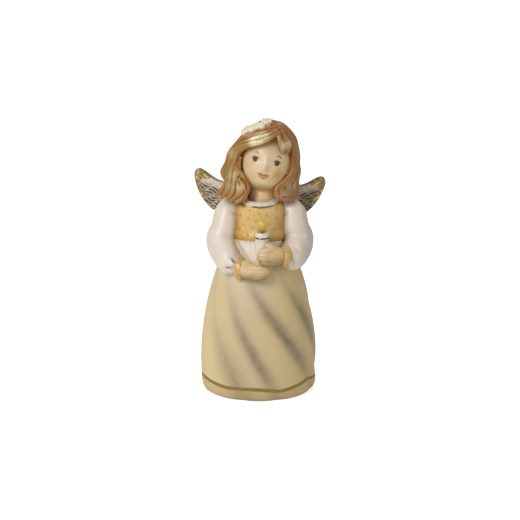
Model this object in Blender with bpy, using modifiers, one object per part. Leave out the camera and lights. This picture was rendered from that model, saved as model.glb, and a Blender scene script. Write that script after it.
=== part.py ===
"""Slip cast ceramic angel figurine with a modelled candle, one hollow fired piece.

The forms are modelled one by one: a turned skirt with slanting folds, a turned
bodice, tapered limbs, a shaped head, locks of hair, blossoms and feathered
wings. They are then fused as wet clay is, thinned to a workable mesh, and the
flat foot, the hollow and its vent hole are cut out.

Metres, +Z up, the face looks along -Y. The origin is the centre of the foot.
"""
import math

import bmesh
import bpy
from mathutils import Matrix, Vector

MM = 0.001

# Skirt
HEM_RADIUS = 21.0 * MM
HEM_STRAIGHT = 10.0 * MM
HEM_ROUNDING = 4.5 * MM
HEM_TUCK = 1.7 * MM
WAIST_RADIUS = 10.4 * MM
WAIST_HEIGHT = 57.0 * MM
WAIST_ROUNDING = 3.0 * MM
FOLD_DEPTH = 1.0 * MM
FOLD_HALF_WIDTH = 10.0
FOLD_FOOT = 9.0 * MM
# Angle of each fold at the hem and its turn up to the waist, in degrees from the front
FOLDS = ((-16, -86), (20, -89), (73, -112), (102, -85), (138, -80), (172, -80), (206, -80),
         (240, -80), (275, -80))

# Foot, hollow and vent
FOOT_WIDTH = 3.6 * MM
FOOT_RECESS = 0.8 * MM
WALL = 3.0 * MM
FLOOR = 2.6 * MM
VENT_RADIUS = 1.5 * MM

# Bodice, blouse front and collar
BODICE_HEIGHT = 13.4 * MM
BODICE_RADIUS = 9.5 * MM
BODICE_FLATNESS = 0.92
BODICE_LIP = 1.0 * MM
BODICE_OVERHANG = 0.4 * MM
BODICE_SCALLOPS = 17
BODICE_SCALLOP_DEPTH = 0.25 * MM
BODY_LEAN = 0.6 * MM
BLOUSE_ANGLE = 65.0
BLOUSE_POINT_ANGLE = 10.0
BLOUSE_DROP = 9.0 * MM
BLOUSE_RELIEF = 0.45 * MM
BLOUSE_PLEATS = 5
COLLAR_RADIUS = 5.4 * MM
COLLAR_DEPTH = 6.6 * MM
COLLAR_FORWARD = 1.2 * MM
COLLAR_SINK = 0.6 * MM
COLLAR_TILT = 0.5 * MM
COLLAR_THICKNESS = 1.05 * MM
COLLAR_FRILLS = 18
COLLAR_FRILL_DEPTH = 0.22 * MM
NECK_RADIUS = 4.1 * MM

# Arms: sleeve, cuff and hand sizes
SLEEVE_RADIUS = 5.4 * MM
SHOULDER_RADIUS = 4.7 * MM
ELBOW_REACH = 13.9 * MM
ELBOW_DROP = 15.5 * MM
CUFF_RADIUS = 3.1 * MM
CUFF_THICKNESS = 0.8 * MM
WRIST_RADIUS = 3.0 * MM
PALM_LENGTH = 7.8 * MM
PALM_DEPTH = 4.4 * MM
FINGER_RADIUS = 0.95 * MM
# Per side, with the hand at -X first: the wrist from the candle's axis, the palm from the
# wrist, the palm's width, the lengths of four fingers, and the thumb from the palm
WRIST_PLACE = ((-8.0, 0.2, 0.5), (8.1, 1.0, -1.3))
PALM_PLACE = ((4.4, -2.9, -0.5), (-4.4, -2.9, 1.1))
PALM_WIDTH = (5.4 * MM, 7.2 * MM)
FINGER_LENGTHS = ((4.9, 5.7, 5.6, 4.8), (4.4, 5.0, 4.9, 4.3))
THUMB = (((0.2, -0.4, 1.7), (2.9, -0.9, 1.9), (5.0, -0.7, 1.6)),
         ((0.6, -0.5, 2.3), (-0.7, -0.9, 3.6), (-1.9, -0.9, 4.1)))

# Candle and flame
CANDLE_RADIUS = 2.5 * MM
CANDLE_LENGTH = 15.0 * MM
CANDLE_RISE = 4.6 * MM
CANDLE_BAND_DROP = 2.4 * MM
CANDLE_BAND_WIDTH = 0.5 * MM
CANDLE_BAND_RELIEF = 0.15 * MM
CANDLE_STANDOFF = 14.2 * MM
CANDLE_ASIDE = 0.7 * MM
LOW_HAND_RISE = 0.9 * MM
HANDS_APART = 6.0 * MM
FLAME_HEIGHT = 5.3 * MM
FLAME_RADIUS = 1.7 * MM

# Head, in its own frame
HEAD_WIDTH = 18.2 * MM
HEAD_DEPTH = 19.6 * MM
HEAD_HEIGHT = 21.4 * MM
HEAD_LIFT = 14.5 * MM
HEAD_OFFSET = 2.4 * MM
JAW_TAPER = 0.04
CHIN_DROP = 1.0 * MM
CHIN_FORWARD = 0.9 * MM
HEAD_ROLL = 12.0
HEAD_PITCH = -11.0
HEAD_YAW = -3.5
HAIR_ROLL = 5.0

# Hair
HAIR_THICKNESS = 1.9 * MM
CROWN_THICKNESS = 3.6 * MM
HAIR_LENGTH = 15.5 * MM
LOCK_RADIUS = 0.95 * MM
LOCK_STEP = 0.8 * MM
UNDER_LAYER = 1.7
UNDER_SINK = 1.8 * MM
UNDER_MARGIN = 0.16
FACE_OPENING = (9.4 * MM, 13.0 * MM)
BACK_LOCKS = 21
WAVE_DEPTH = 0.8 * MM
TIP_FLARE = 1.2 * MM
PARTING_ASIDE = 2.4 * MM

# Blossoms
BLOSSOM_RADIUS = 2.1 * MM
PETAL_RADIUS = 1.05 * MM
PETALS = 5
HEART_RADIUS = 0.7 * MM
# Centres in mm from the centre of the head
BLOSSOM_PLACES = ((-7.6, -4.6, 12.6), (-4.0, -4.6, 14.2), (-0.4, -3.8, 15.3))

# Wings
WING_SPAN = 19.4 * MM
RIGHT_WING_SHORTER = 1.2 * MM
LEFT_WING_LIFT = 0.5
RIGHT_WING_LIFT = -10.0
WING_LIFT = 9.4 * MM
WING_DROP = 5.8 * MM
WING_ASIDE = 5.0 * MM
WING_ROOT_DROP = 1.0 * MM
WING_SINK = 1.2 * MM
FEATHER_RADIUS = 1.15 * MM
WING_FLATNESS = 0.8
WING_SWEEP = 10.0
# Per row of feathers: how many, their reach along the wing, and their height off its middle
FEATHER_ROWS = ((8, 1.0, 0.0), (7, 0.74, 1.0 * MM), (6, 0.50, 1.5 * MM))

# Clay: how finely the forms are fused, and how many faces are left
FUSE_SIZE = 0.32 * MM
FACE_BUDGET = 10500

SHOULDER_HEIGHT = WAIST_HEIGHT + BODICE_HEIGHT
HEAD_CENTRE = Vector((BODY_LEAN + HEAD_OFFSET, 0, SHOULDER_HEIGHT + HEAD_LIFT))
CANDLE_AXIS = Vector((BODY_LEAN + CANDLE_ASIDE, -CANDLE_STANDOFF, 0))
CANDLE_TOP = WAIST_HEIGHT + CANDLE_RISE
HAND_HEIGHT_LOW = CANDLE_TOP - CANDLE_LENGTH + LOW_HAND_RISE


def clear_scene():
    for item in list(bpy.data.objects):
        bpy.data.objects.remove(item, do_unlink=True)


def new_collection(name):
    collection = bpy.data.collections.new(name)
    bpy.context.scene.collection.children.link(collection)
    return collection


def place(name, data, collection):
    item = bpy.data.objects.new(name, data)
    collection.objects.link(item)
    return item


def as_mesh(item, collection):
    """The evaluated, welded mesh of a modifier stack or a curve, in world space."""
    bpy.context.view_layer.update()
    evaluated = item.evaluated_get(bpy.context.evaluated_depsgraph_get())
    mesh = bpy.data.meshes.new_from_object(evaluated)
    mesh.transform(item.matrix_world)
    shape = bmesh.new()
    shape.from_mesh(mesh)
    bmesh.ops.remove_doubles(shape, verts=shape.verts, dist=0.001 * MM)
    bmesh.ops.recalc_face_normals(shape, faces=shape.faces)
    shape.to_mesh(mesh)
    shape.free()
    name = item.name
    bpy.data.objects.remove(item, do_unlink=True)
    return place(name, mesh, collection)


def through(points, count):
    """Evenly numbered points of a smooth curve through the given ones."""
    rows = [tuple(p) for p in points]
    rows = [rows[0]] + rows + [rows[-1]]
    spans = len(rows) - 3
    result = []
    for i in range(count):
        t = i / (count - 1) * spans
        k = min(int(t), spans - 1)
        t -= k
        a, b, c, d = rows[k:k + 4]
        result.append(tuple(
            0.5 * (2 * q + (r - p) * t + (2 * p - 5 * q + 4 * r - s) * t * t
                   + (3 * q - p - 3 * r + s) * t ** 3)
            for p, q, r, s in zip(a, b, c, d)))
    return result


def turned(name, profile, collection, steps=64, centre=(0, 0, 0), squash=1.0):
    """A solid of revolution; the profile is (radius, height) from the top down."""
    mesh = bpy.data.meshes.new(name)
    points = [(radius, 0, height) for radius, height in profile]
    edges = [(i, i + 1) for i in range(len(points) - 1)]
    mesh.from_pydata(points, edges, [])
    item = place(name, mesh, collection)
    screw = item.modifiers.new("turn", "SCREW")
    screw.axis = "Z"
    screw.angle = math.tau
    screw.steps = steps
    screw.render_steps = steps
    screw.use_merge_vertices = True
    screw.merge_threshold = 0.001 * MM
    item.location = centre
    item.scale = (1, squash, 1)
    return as_mesh(item, collection)


def end_cap(row, inner):
    """Rows that round off a tube past its last row, going away from the row before it."""
    away = Vector(row[:3]) - Vector(inner[:3])
    away.normalize()
    rows = []
    for angle in (40, 75):
        reach = row[3] * math.sin(math.radians(angle)) * 0.9
        rows.append((*(Vector(row[:3]) + away * reach), row[3] * math.cos(math.radians(angle))))
    return rows


def limb(name, points, collection, count=16, sides=3):
    """A tapered tube through (x, y, z, radius) points, with rounded ends."""
    rows = through(points, count)
    rows = end_cap(rows[0], rows[1])[::-1] + rows + end_cap(rows[-1], rows[-2])
    curve = bpy.data.curves.new(name, "CURVE")
    curve.dimensions = "3D"
    curve.bevel_depth = 1.0
    curve.bevel_resolution = sides
    curve.use_fill_caps = True
    spline = curve.splines.new("POLY")
    spline.points.add(len(rows) - 1)
    for point, row in zip(spline.points, rows):
        point.co = (row[0], row[1], row[2], 1)
        point.radius = max(row[3], 0.05 * MM)
    return as_mesh(place(name, curve, collection), collection)


def ball(name, centre, radii, collection, turn=None, segments=24):
    """An ellipsoid."""
    shape = bmesh.new()
    bmesh.ops.create_uvsphere(shape, u_segments=segments, v_segments=segments // 2, radius=1)
    mesh = bpy.data.meshes.new(name)
    shape.to_mesh(mesh)
    shape.free()
    matrix = Matrix.Translation(centre) @ (turn or Matrix()) @ Matrix.Diagonal((*radii, 1))
    mesh.transform(matrix)
    return place(name, mesh, collection)


def bell(height):
    """Skirt radius at a height, without folds."""
    if height <= HEM_STRAIGHT:
        return HEM_RADIUS
    share = (height - HEM_STRAIGHT) / (WAIST_HEIGHT - HEM_STRAIGHT)
    radius = HEM_RADIUS - (HEM_RADIUS - WAIST_RADIUS) * share ** 2
    near = max(0.0, 1 - (WAIST_HEIGHT - height) / WAIST_ROUNDING)
    return radius - WAIST_ROUNDING * (1 - math.sqrt(1 - near ** 2)) * 0.6


def fold_depth(angle, height):
    """How far the skirt is drawn in by its folds at an angle in degrees and a height."""
    share = height / WAIST_HEIGHT
    depth = 0
    for hem_angle, turn in FOLDS:
        away = (angle - hem_angle - turn * share + 180) % 360 - 180
        half = FOLD_HALF_WIDTH * (1.0 if away < 0 else 0.7)
        depth += math.exp(-(away / half) ** 2)
    foot = min(1.0, height / FOLD_FOOT)
    return FOLD_DEPTH * depth * (1 - 0.75 * share) * (0.5 + 0.5 * foot)


def skirt(collection):
    rows = 44
    profile = []
    for i in range(rows + 1):
        height = WAIST_HEIGHT * (1 - i / rows)
        radius = bell(height)
        if height < HEM_ROUNDING:
            radius -= HEM_TUCK * (1 - math.sqrt(1 - (1 - height / HEM_ROUNDING) ** 2))
        profile.append((radius, height))
    profile = [(0, WAIST_HEIGHT)] + profile + [(0, 0)]
    item = turned("skirt", profile, collection, steps=160)
    for vertex in item.data.vertices:
        x, y, z = vertex.co
        radius = math.hypot(x, y)
        if radius > 1 * MM:
            angle = math.degrees(math.atan2(x, -y))
            factor = 1 - fold_depth(angle, z) / radius
            vertex.co.x = x * factor
            vertex.co.y = y * factor
    return item


def bodice(collection):
    top = SHOULDER_HEIGHT
    points = [(0, top + 0.6 * MM), (NECK_RADIUS + 1.0 * MM, top - 0.5 * MM),
              (BODICE_RADIUS * 0.86, top - 1.2 * MM), (BODICE_RADIUS * 0.98, top - 3 * MM),
              (BODICE_RADIUS, WAIST_HEIGHT + 4 * MM),
              (BODICE_RADIUS + BODICE_LIP * 0.8, WAIST_HEIGHT + 1.4 * MM),
              (BODICE_RADIUS + BODICE_LIP, WAIST_HEIGHT - BODICE_OVERHANG)]
    profile = through(points, 22)
    seat = BODICE_RADIUS - WALL / 2
    profile += [(seat, WAIST_HEIGHT - BODICE_OVERHANG * 2), (seat, WAIST_HEIGHT - WALL),
                (0, WAIST_HEIGHT - WALL)]
    item = turned("bodice", profile, collection, steps=136, centre=(BODY_LEAN, 0, 0),
                  squash=BODICE_FLATNESS)
    for vertex in item.data.vertices:
        x, y, z = vertex.co
        angle = math.atan2(x, -y)
        low = 1 - abs(z - WAIST_HEIGHT) / (2 * MM)
        if low > 0 and math.hypot(x, y) > seat:
            vertex.co.z += BODICE_SCALLOP_DEPTH * low * math.sin(angle * BODICE_SCALLOPS)
    return item


def blouse_front(collection):
    """The pleated front of the blouse, which narrows downwards between the hands."""
    shape = bmesh.new()
    bmesh.ops.create_grid(shape, x_segments=60, y_segments=20, size=1)
    for vertex in shape.verts:
        share = (1 - vertex.co.y) / 2
        across = vertex.co.x
        half = BLOUSE_POINT_ANGLE + (BLOUSE_ANGLE - BLOUSE_POINT_ANGLE) * (1 - share) ** 1.5
        angle = math.radians(across * half)
        z = WAIST_HEIGHT - BLOUSE_DROP * share ** 1.5
        pleat = abs(math.sin(math.pi * (across + 1) / 2 * BLOUSE_PLEATS))
        radius = bell(z) + BLOUSE_RELIEF * (0.2 + 0.8 * pleat)
        vertex.co = (BODY_LEAN / 2 + radius * math.sin(angle), -radius * math.cos(angle), z)
    mesh = bpy.data.meshes.new("blouse_front")
    shape.to_mesh(mesh)
    shape.free()
    item = place("blouse_front", mesh, collection)
    cloth = item.modifiers.new("cloth", "SOLIDIFY")
    cloth.thickness = WALL / 2
    cloth.offset = 1
    return as_mesh(item, collection)


def neck(collection):
    low = SHOULDER_HEIGHT - 2 * MM
    start = Vector((BODY_LEAN + 0.6 * MM, 0, low))
    end = HEAD_CENTRE - Vector((0.4 * MM, 0, 3 * MM))
    points = [(*start, NECK_RADIUS + 1.2 * MM), (*start.lerp(end, 0.35), NECK_RADIUS),
              (*start.lerp(end, 0.65), NECK_RADIUS * 0.97), (*end, NECK_RADIUS + 0.3 * MM)]
    return limb("neck", points, collection, count=14, sides=6)


def collar(collection):
    """A frilled ring that sits on the shoulders round the neck."""
    points = []
    count = COLLAR_FRILLS * 6
    for i in range(count):
        angle = math.tau * i / count
        frill = COLLAR_FRILL_DEPTH * math.cos(angle * COLLAR_FRILLS)
        x = BODY_LEAN + (COLLAR_RADIUS + frill) * math.sin(angle)
        y = -COLLAR_FORWARD - (COLLAR_DEPTH + frill) * math.cos(angle)
        z = SHOULDER_HEIGHT - COLLAR_SINK - COLLAR_TILT * math.cos(angle)
        points.append((x, y, z))
    curve = bpy.data.curves.new("collar", "CURVE")
    curve.dimensions = "3D"
    curve.bevel_depth = COLLAR_THICKNESS
    curve.bevel_resolution = 3
    spline = curve.splines.new("POLY")
    spline.points.add(count - 1)
    for point, place_at in zip(spline.points, points):
        point.co = (*place_at, 1)
    spline.use_cyclic_u = True
    return as_mesh(place("collar", curve, collection), collection)


def wrist(side):
    """Where each arm ends in its cuff; the arm at +X holds the candle higher up."""
    height = HAND_HEIGHT_LOW + (HANDS_APART if side > 0 else 0)
    return CANDLE_AXIS + Vector((0, 0, height)) + Vector(WRIST_PLACE[side > 0]) * MM


def palm(side):
    return wrist(side) + Vector(PALM_PLACE[side > 0]) * MM


def sleeve(side, collection):
    """A puffed sleeve that narrows to its cuff."""
    shoulder = Vector((BODY_LEAN + side * (BODICE_RADIUS + 1.8 * MM), 0.6 * MM,
                       SHOULDER_HEIGHT - 5.0 * MM))
    elbow = Vector((BODY_LEAN + side * ELBOW_REACH, -2.6 * MM, SHOULDER_HEIGHT - ELBOW_DROP))
    end = wrist(side)
    sag = (1.4 if side < 0 else 2.1) * MM
    fore = elbow.lerp(end, 0.55) + Vector((side * 0.4 * MM, -0.6 * MM, -sag))
    points = [
        (*(shoulder + Vector((-side * 3.6, 0, 1.0)) * MM), SHOULDER_RADIUS * 0.7),
        (*shoulder, SHOULDER_RADIUS),
        (*shoulder.lerp(elbow, 0.5), SLEEVE_RADIUS * 0.93),
        (*elbow, SLEEVE_RADIUS),
        (*fore, SLEEVE_RADIUS * 0.93),
        (*fore.lerp(end, 0.62), SLEEVE_RADIUS * 0.72),
        (*end, CUFF_RADIUS * 0.9),
    ]
    return limb("sleeve", points, collection, count=26, sides=7)


def cuff(side, collection):
    """A rolled band round the wrist, square to the hand."""
    end = wrist(side)
    along = (palm(side) - end).normalized()
    profile = []
    for i in range(13):
        angle = math.pi * i / 12
        profile.append((CUFF_RADIUS + CUFF_THICKNESS * math.sin(angle),
                        CUFF_THICKNESS * 1.7 * math.cos(angle)))
    profile = [(0, profile[0][1])] + profile + [(0, profile[-1][1])]
    item = turned("cuff", profile, collection, steps=28)
    turn = along.to_track_quat("Z", "Y").to_matrix().to_4x4()
    item.data.transform(Matrix.Translation(end) @ turn)
    return item


def hand(side, collection):
    """Palm, four fingers and a thumb closed round the candle."""
    end = wrist(side)
    centre = palm(side)
    reach = Vector((-side, 0, 0))
    forms = [limb("wrist", [(*end, WRIST_RADIUS), (*end.lerp(centre, 0.5), WRIST_RADIUS),
                            (*centre, WRIST_RADIUS * 1.15)], collection, count=6, sides=4),
             ball("palm", centre, (PALM_LENGTH / 2, PALM_DEPTH / 2, PALM_WIDTH[side > 0] / 2),
                  collection)]
    spread = PALM_WIDTH[side > 0] / 4
    for i, length in enumerate(FINGER_LENGTHS[side > 0]):
        drop = (1.5 - i) * spread
        root = centre + Vector((0, -PALM_DEPTH / 4, drop))
        middle = root + reach * length * 0.62 * MM + Vector((0, -PALM_DEPTH / 6, drop * -0.06))
        tip = root + reach * length * MM + Vector((0, PALM_DEPTH / 8, drop * -0.2))
        forms.append(limb("finger", [(*root, FINGER_RADIUS * 1.1), (*middle, FINGER_RADIUS),
                                     (*tip, FINGER_RADIUS * 0.75)], collection, count=7, sides=2))
    root, middle, tip = (centre + Vector(place) * MM for place in THUMB[side > 0])
    forms.append(limb("thumb", [(*root, FINGER_RADIUS * 1.45), (*middle, FINGER_RADIUS * 1.3),
                                (*tip, FINGER_RADIUS)], collection, count=7, sides=3))
    return forms


def candle(collection):
    """A plain stick candle with one raised band and a soft rim."""
    top = CANDLE_TOP
    band = top - CANDLE_BAND_DROP
    raised = CANDLE_RADIUS + CANDLE_BAND_RELIEF
    profile = [(0, top - 0.2 * MM), (CANDLE_RADIUS - 0.5 * MM, top - 0.1 * MM),
               (CANDLE_RADIUS - 0.15 * MM, top), (CANDLE_RADIUS, top - 0.4 * MM),
               (CANDLE_RADIUS, band), (raised, band), (raised, band - CANDLE_BAND_WIDTH),
               (CANDLE_RADIUS, band - CANDLE_BAND_WIDTH), (CANDLE_RADIUS, top - CANDLE_LENGTH),
               (0, top - CANDLE_LENGTH)]
    stick = turned("candle", profile, collection, steps=32, centre=CANDLE_AXIS)
    rows = 14
    drop = []
    for i in range(rows + 1):
        t = i / rows
        width = math.sin(math.pi * t ** 0.86) ** 0.62 * (0.8 + 0.32 * t)
        drop.append((FLAME_RADIUS * min(width, 1.0), top + FLAME_HEIGHT * (1 - t) - 0.5 * MM))
    drop[0] = (0, drop[0][1])
    drop[-1] = (0, drop[-1][1])
    flame = turned("flame", drop, collection, steps=24, centre=CANDLE_AXIS)
    return [stick, flame]


def head_matrix(lean=HEAD_ROLL):
    roll = Matrix.Rotation(math.radians(lean), 4, "Y")
    pitch = Matrix.Rotation(math.radians(HEAD_PITCH), 4, "X")
    yaw = Matrix.Rotation(math.radians(HEAD_YAW), 4, "Z")
    return Matrix.Translation(HEAD_CENTRE) @ roll @ pitch @ yaw


# Soft rises and hollows of the face: across, up, half sizes and height, in mm
FACE_RELIEF = (
    (0.0, -1.0, 0.9, 2.2, 0.45),
    (0.0, -2.9, 1.15, 1.05, 1.2),
    (-4.3, -4.6, 3.0, 2.6, 0.75),
    (4.3, -4.6, 3.0, 2.6, 0.75),
    (0.0, -8.9, 2.2, 1.5, 0.8),
    (0.0, -5.8, 1.9, 0.85, 0.5),
    (-4.1, -0.4, 1.9, 1.5, -0.5),
    (4.1, -0.4, 1.9, 1.5, -0.5),
)


def head_surface(direction):
    """A point of the head for a unit direction in the head's frame."""
    x, y, z = direction
    low = max(0.0, -z)
    across = HEAD_WIDTH / 2 * x * (1 - JAW_TAPER * low ** 2)
    depth = HEAD_DEPTH / 2 * y * (1 - 0.10 * low ** 2) - CHIN_FORWARD * low ** 2
    height = HEAD_HEIGHT / 2 * z - CHIN_DROP * low ** 2
    if y < 0:
        front = min(1.0, -y * 2)
        for a, b, wide, tall, rise in FACE_RELIEF:
            u = (across / MM - a) / wide
            v = (height / MM - b) / tall
            depth -= rise * MM * front * math.exp(-u * u - v * v)
    return Vector((across, depth, height))


def head(collection):
    shape = bmesh.new()
    bmesh.ops.create_uvsphere(shape, u_segments=64, v_segments=48, radius=1)
    for vertex in shape.verts:
        vertex.co = head_surface(vertex.co)
    mesh = bpy.data.meshes.new("head")
    shape.to_mesh(mesh)
    shape.free()
    mesh.transform(head_matrix())
    return place("head", mesh, collection)


def hair_cap(collection):
    """The mass of hair on the skull, open over the face."""
    shape = bmesh.new()
    bmesh.ops.create_uvsphere(shape, u_segments=64, v_segments=48, radius=1)
    for vertex in shape.verts:
        x, y, z = vertex.co
        across = x * (HEAD_WIDTH / 2 + HAIR_THICKNESS)
        depth = y * (HEAD_DEPTH / 2 + HAIR_THICKNESS)
        height = z * (HEAD_HEIGHT / 2 + CROWN_THICKNESS)
        inside = 0.0
        if y < 0:
            ring = math.hypot(across / FACE_OPENING[0], (height + 3.4 * MM) / FACE_OPENING[1])
            inside = min(1.0, max(0.0, (1.15 - ring) / 0.3))
        under = min(1.0, max(0.0, (-0.45 - z) / 0.2))
        vertex.co = Vector((across, depth, height)) * (1 - 0.3 * max(inside, under))
    mesh = bpy.data.meshes.new("hair_cap")
    shape.to_mesh(mesh)
    shape.free()
    mesh.transform(head_matrix(HAIR_ROLL))
    return place("hair_cap", mesh, collection)


# Guides of the hair over the face and in front of the shoulders: points from the parting to
# the tips, in mm from the centre of the head. Each sheet of hair lies between two of them.
FRINGE_TOP = ((3.6, -3.6, 12.8), (0.4, -4.2, 13.2), (-4.2, -5.0, 12.0), (-7.8, -5.0, 9.8),
              (-11.0, -4.2, 6.2), (-13.3, -3.2, 3.0), (-14.2, -2.4, -0.6), (-16.0, -2.4, -4.0),
              (-15.2, -3.0, -6.8))
FRINGE_LOW = ((3.9, -6.6, 11.0), (-0.2, -8.9, 9.2), (-4.1, -8.7, 8.1), (-7.9, -7.2, 6.2),
              (-10.1, -5.6, 3.9), (-10.9, -5.0, 0.8), (-11.8, -4.9, -2.4), (-12.8, -4.7, -5.0),
              (-13.0, -4.4, -7.0))
SLANT_OUTER = ((-10.8, -4.6, 2.6), (-12.4, -4.9, -1.8), (-14.0, -4.8, -6.0), (-15.2, -4.4, -9.6),
               (-18.0, -3.8, -13.4))
SLANT_INNER = ((-10.2, -5.0, 1.4), (-10.4, -5.7, -2.8), (-11.2, -6.3, -7.0), (-12.4, -6.8, -11.0),
               (-14.0, -6.5, -14.6))
CURL_OUTER = ((-10.2, -4.9, 0.4), (-10.0, -5.4, -3.6), (-9.4, -6.2, -7.2), (-9.6, -7.1, -10.4),
              (-11.4, -7.2, -13.2), (-13.4, -6.8, -14.8))
CURL_INNER = ((-10.1, -4.8, -0.6), (-9.6, -5.3, -4.6), (-8.2, -6.3, -8.2), (-7.3, -7.1, -11.0),
              (-8.4, -7.3, -13.4), (-11.2, -7.0, -14.6))
SHORT_INNER = ((4.0, -6.8, 11.0), (5.0, -8.2, 8.4), (6.0, -8.2, 6.2), (6.6, -7.4, 4.6))
SHORT_OUTER = ((5.0, -5.8, 11.6), (7.6, -6.4, 8.6), (8.8, -6.0, 6.2), (9.0, -5.4, 4.4))
RIGHT_OUTER = ((3.6, -2.4, 13.4), (6.6, -2.8, 12.0), (9.4, -2.8, 9.0), (10.6, -2.4, 4.6),
               (11.0, -2.0, -0.6), (11.5, -2.2, -3.8), (10.8, -2.4, -7.6), (11.2, -2.8, -13.8))
RIGHT_INNER = ((4.2, -5.2, 11.8), (7.4, -5.2, 9.4), (9.3, -4.9, 5.8), (9.6, -4.6, 0.8),
               (9.0, -4.9, -3.7), (7.0, -5.5, -6.8), (4.4, -6.2, -9.8), (3.6, -6.8, -13.4))

# Name, the two guides, and the thickness of the locks from start to tip
SHEETS = (
    ("fringe", FRINGE_TOP, FRINGE_LOW, (0.5, 0.9, 1.0, 1.0, 0.6)),
    ("short_fringe", SHORT_INNER, SHORT_OUTER, (0.7, 1.2, 1.2, 0.7)),
    ("slanting_locks", SLANT_OUTER, SLANT_INNER, (0.8, 0.9, 1.0, 0.6)),
    ("inner_curl", CURL_OUTER, CURL_INNER, (0.7, 0.9, 1.0, 0.7)),
    ("right_locks", RIGHT_OUTER, RIGHT_INNER, (0.6, 0.9, 0.9, 1.0, 0.9)),
)
SHEET_LOCKS = {"fringe": 5, "short_fringe": 2, "slanting_locks": 4, "inner_curl": 3,
               "right_locks": 6}


def head_share(point):
    """A guide point in metres, which grows with the head it lies on."""
    x, y, z = point
    return Vector((x * HEAD_WIDTH / 18.2, y * HEAD_DEPTH / 19.6, z * HEAD_HEIGHT / 21.4))


def lock(name, points, thickness, collection):
    path = through(points, 14)
    widths = through([(value,) for value in thickness], 14)
    rows = [(*point, LOCK_RADIUS * width[0]) for point, width in zip(path, widths)]
    return limb(name, rows, collection, count=14, sides=2)


def front_hair(collection):
    """Each sheet is a thick layer underneath and fine locks that stand out of it."""
    forms = []
    for name, first, second, thickness in SHEETS:
        count = SHEET_LOCKS[name]
        under = [value * UNDER_LAYER for value in thickness]
        for number, widths, sink, edge in ((count // 2 + 1, under, UNDER_SINK, UNDER_MARGIN),
                                           (count, thickness, 0.0, 0.0)):
            for i in range(number):
                t = edge + (1 - 2 * edge) * i / (number - 1)
                stand = LOCK_STEP * (i % 2) - sink
                points = []
                for a, b in zip(first, second):
                    point = head_share(a).lerp(head_share(b), t)
                    points.append(HEAD_CENTRE + point + point.normalized() * stand)
                forms.append(lock(name, points, widths, collection))
    return forms


def back_hair(collection):
    """Locks that fall from the parting over the sides and the back to the shoulders."""
    forms = []
    for i in range(BACK_LOCKS):
        angle = math.radians(80 + 200 * i / (BACK_LOCKS - 1))
        points = []
        for k in range(9):
            t = k / 8
            if t < 0.5:
                rise = math.cos(math.pi * t)
                out = math.sin(math.pi * t)
            else:
                rise = 0
                out = 1
            hang = max(0.0, t - 0.5) * 2
            wave = WAVE_DEPTH * math.sin(hang * 7.5 + 1.7 * i) * min(1.0, hang * 3)
            reach = out * (HAIR_THICKNESS - LOCK_RADIUS * 0.6) + wave + TIP_FLARE * hang ** 2
            reach += LOCK_STEP * (i % 2) * out
            x = math.sin(angle) * (HEAD_WIDTH / 2 * out + reach) + PARTING_ASIDE * (1 - out)
            y = -math.cos(angle) * (HEAD_DEPTH / 2 * out + reach)
            z = (HEAD_HEIGHT / 2 + CROWN_THICKNESS - LOCK_RADIUS) * rise
            z -= HAIR_LENGTH * hang * (1 - 0.06 * (i % 3))
            x -= HEAD_OFFSET * hang
            points.append(HEAD_CENTRE + Vector((x, y, z)))
        forms.append(lock("back_lock", points, (0.9, 1.1, 1.4, 1.5, 1.0), collection))
    return forms


def blossoms(collection):
    """Three five petalled blossoms in a row above the fringe."""
    forms = []
    for point in BLOSSOM_PLACES:
        centre = HEAD_CENTRE + head_share(point)
        outward = (centre - HEAD_CENTRE).normalized()
        turn = outward.to_track_quat("Z", "Y").to_matrix().to_4x4()
        for k in range(PETALS):
            angle = math.tau * k / PETALS
            reach = BLOSSOM_RADIUS - PETAL_RADIUS
            offset = turn @ Vector((reach * math.cos(angle), reach * math.sin(angle), 0))
            forms.append(ball("petal", centre + offset,
                              (PETAL_RADIUS, PETAL_RADIUS, PETAL_RADIUS * 0.7), collection,
                              turn, segments=12))
        forms.append(ball("blossom_heart", centre,
                          (HEART_RADIUS, HEART_RADIUS, HEART_RADIUS * 1.6), collection, turn,
                          segments=12))
        forms.append(ball("blossom_base", centre - outward * BLOSSOM_RADIUS * 0.67,
                          (BLOSSOM_RADIUS * 0.9, BLOSSOM_RADIUS * 0.9, BLOSSOM_RADIUS), collection,
                          turn, segments=12))
    return forms


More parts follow.
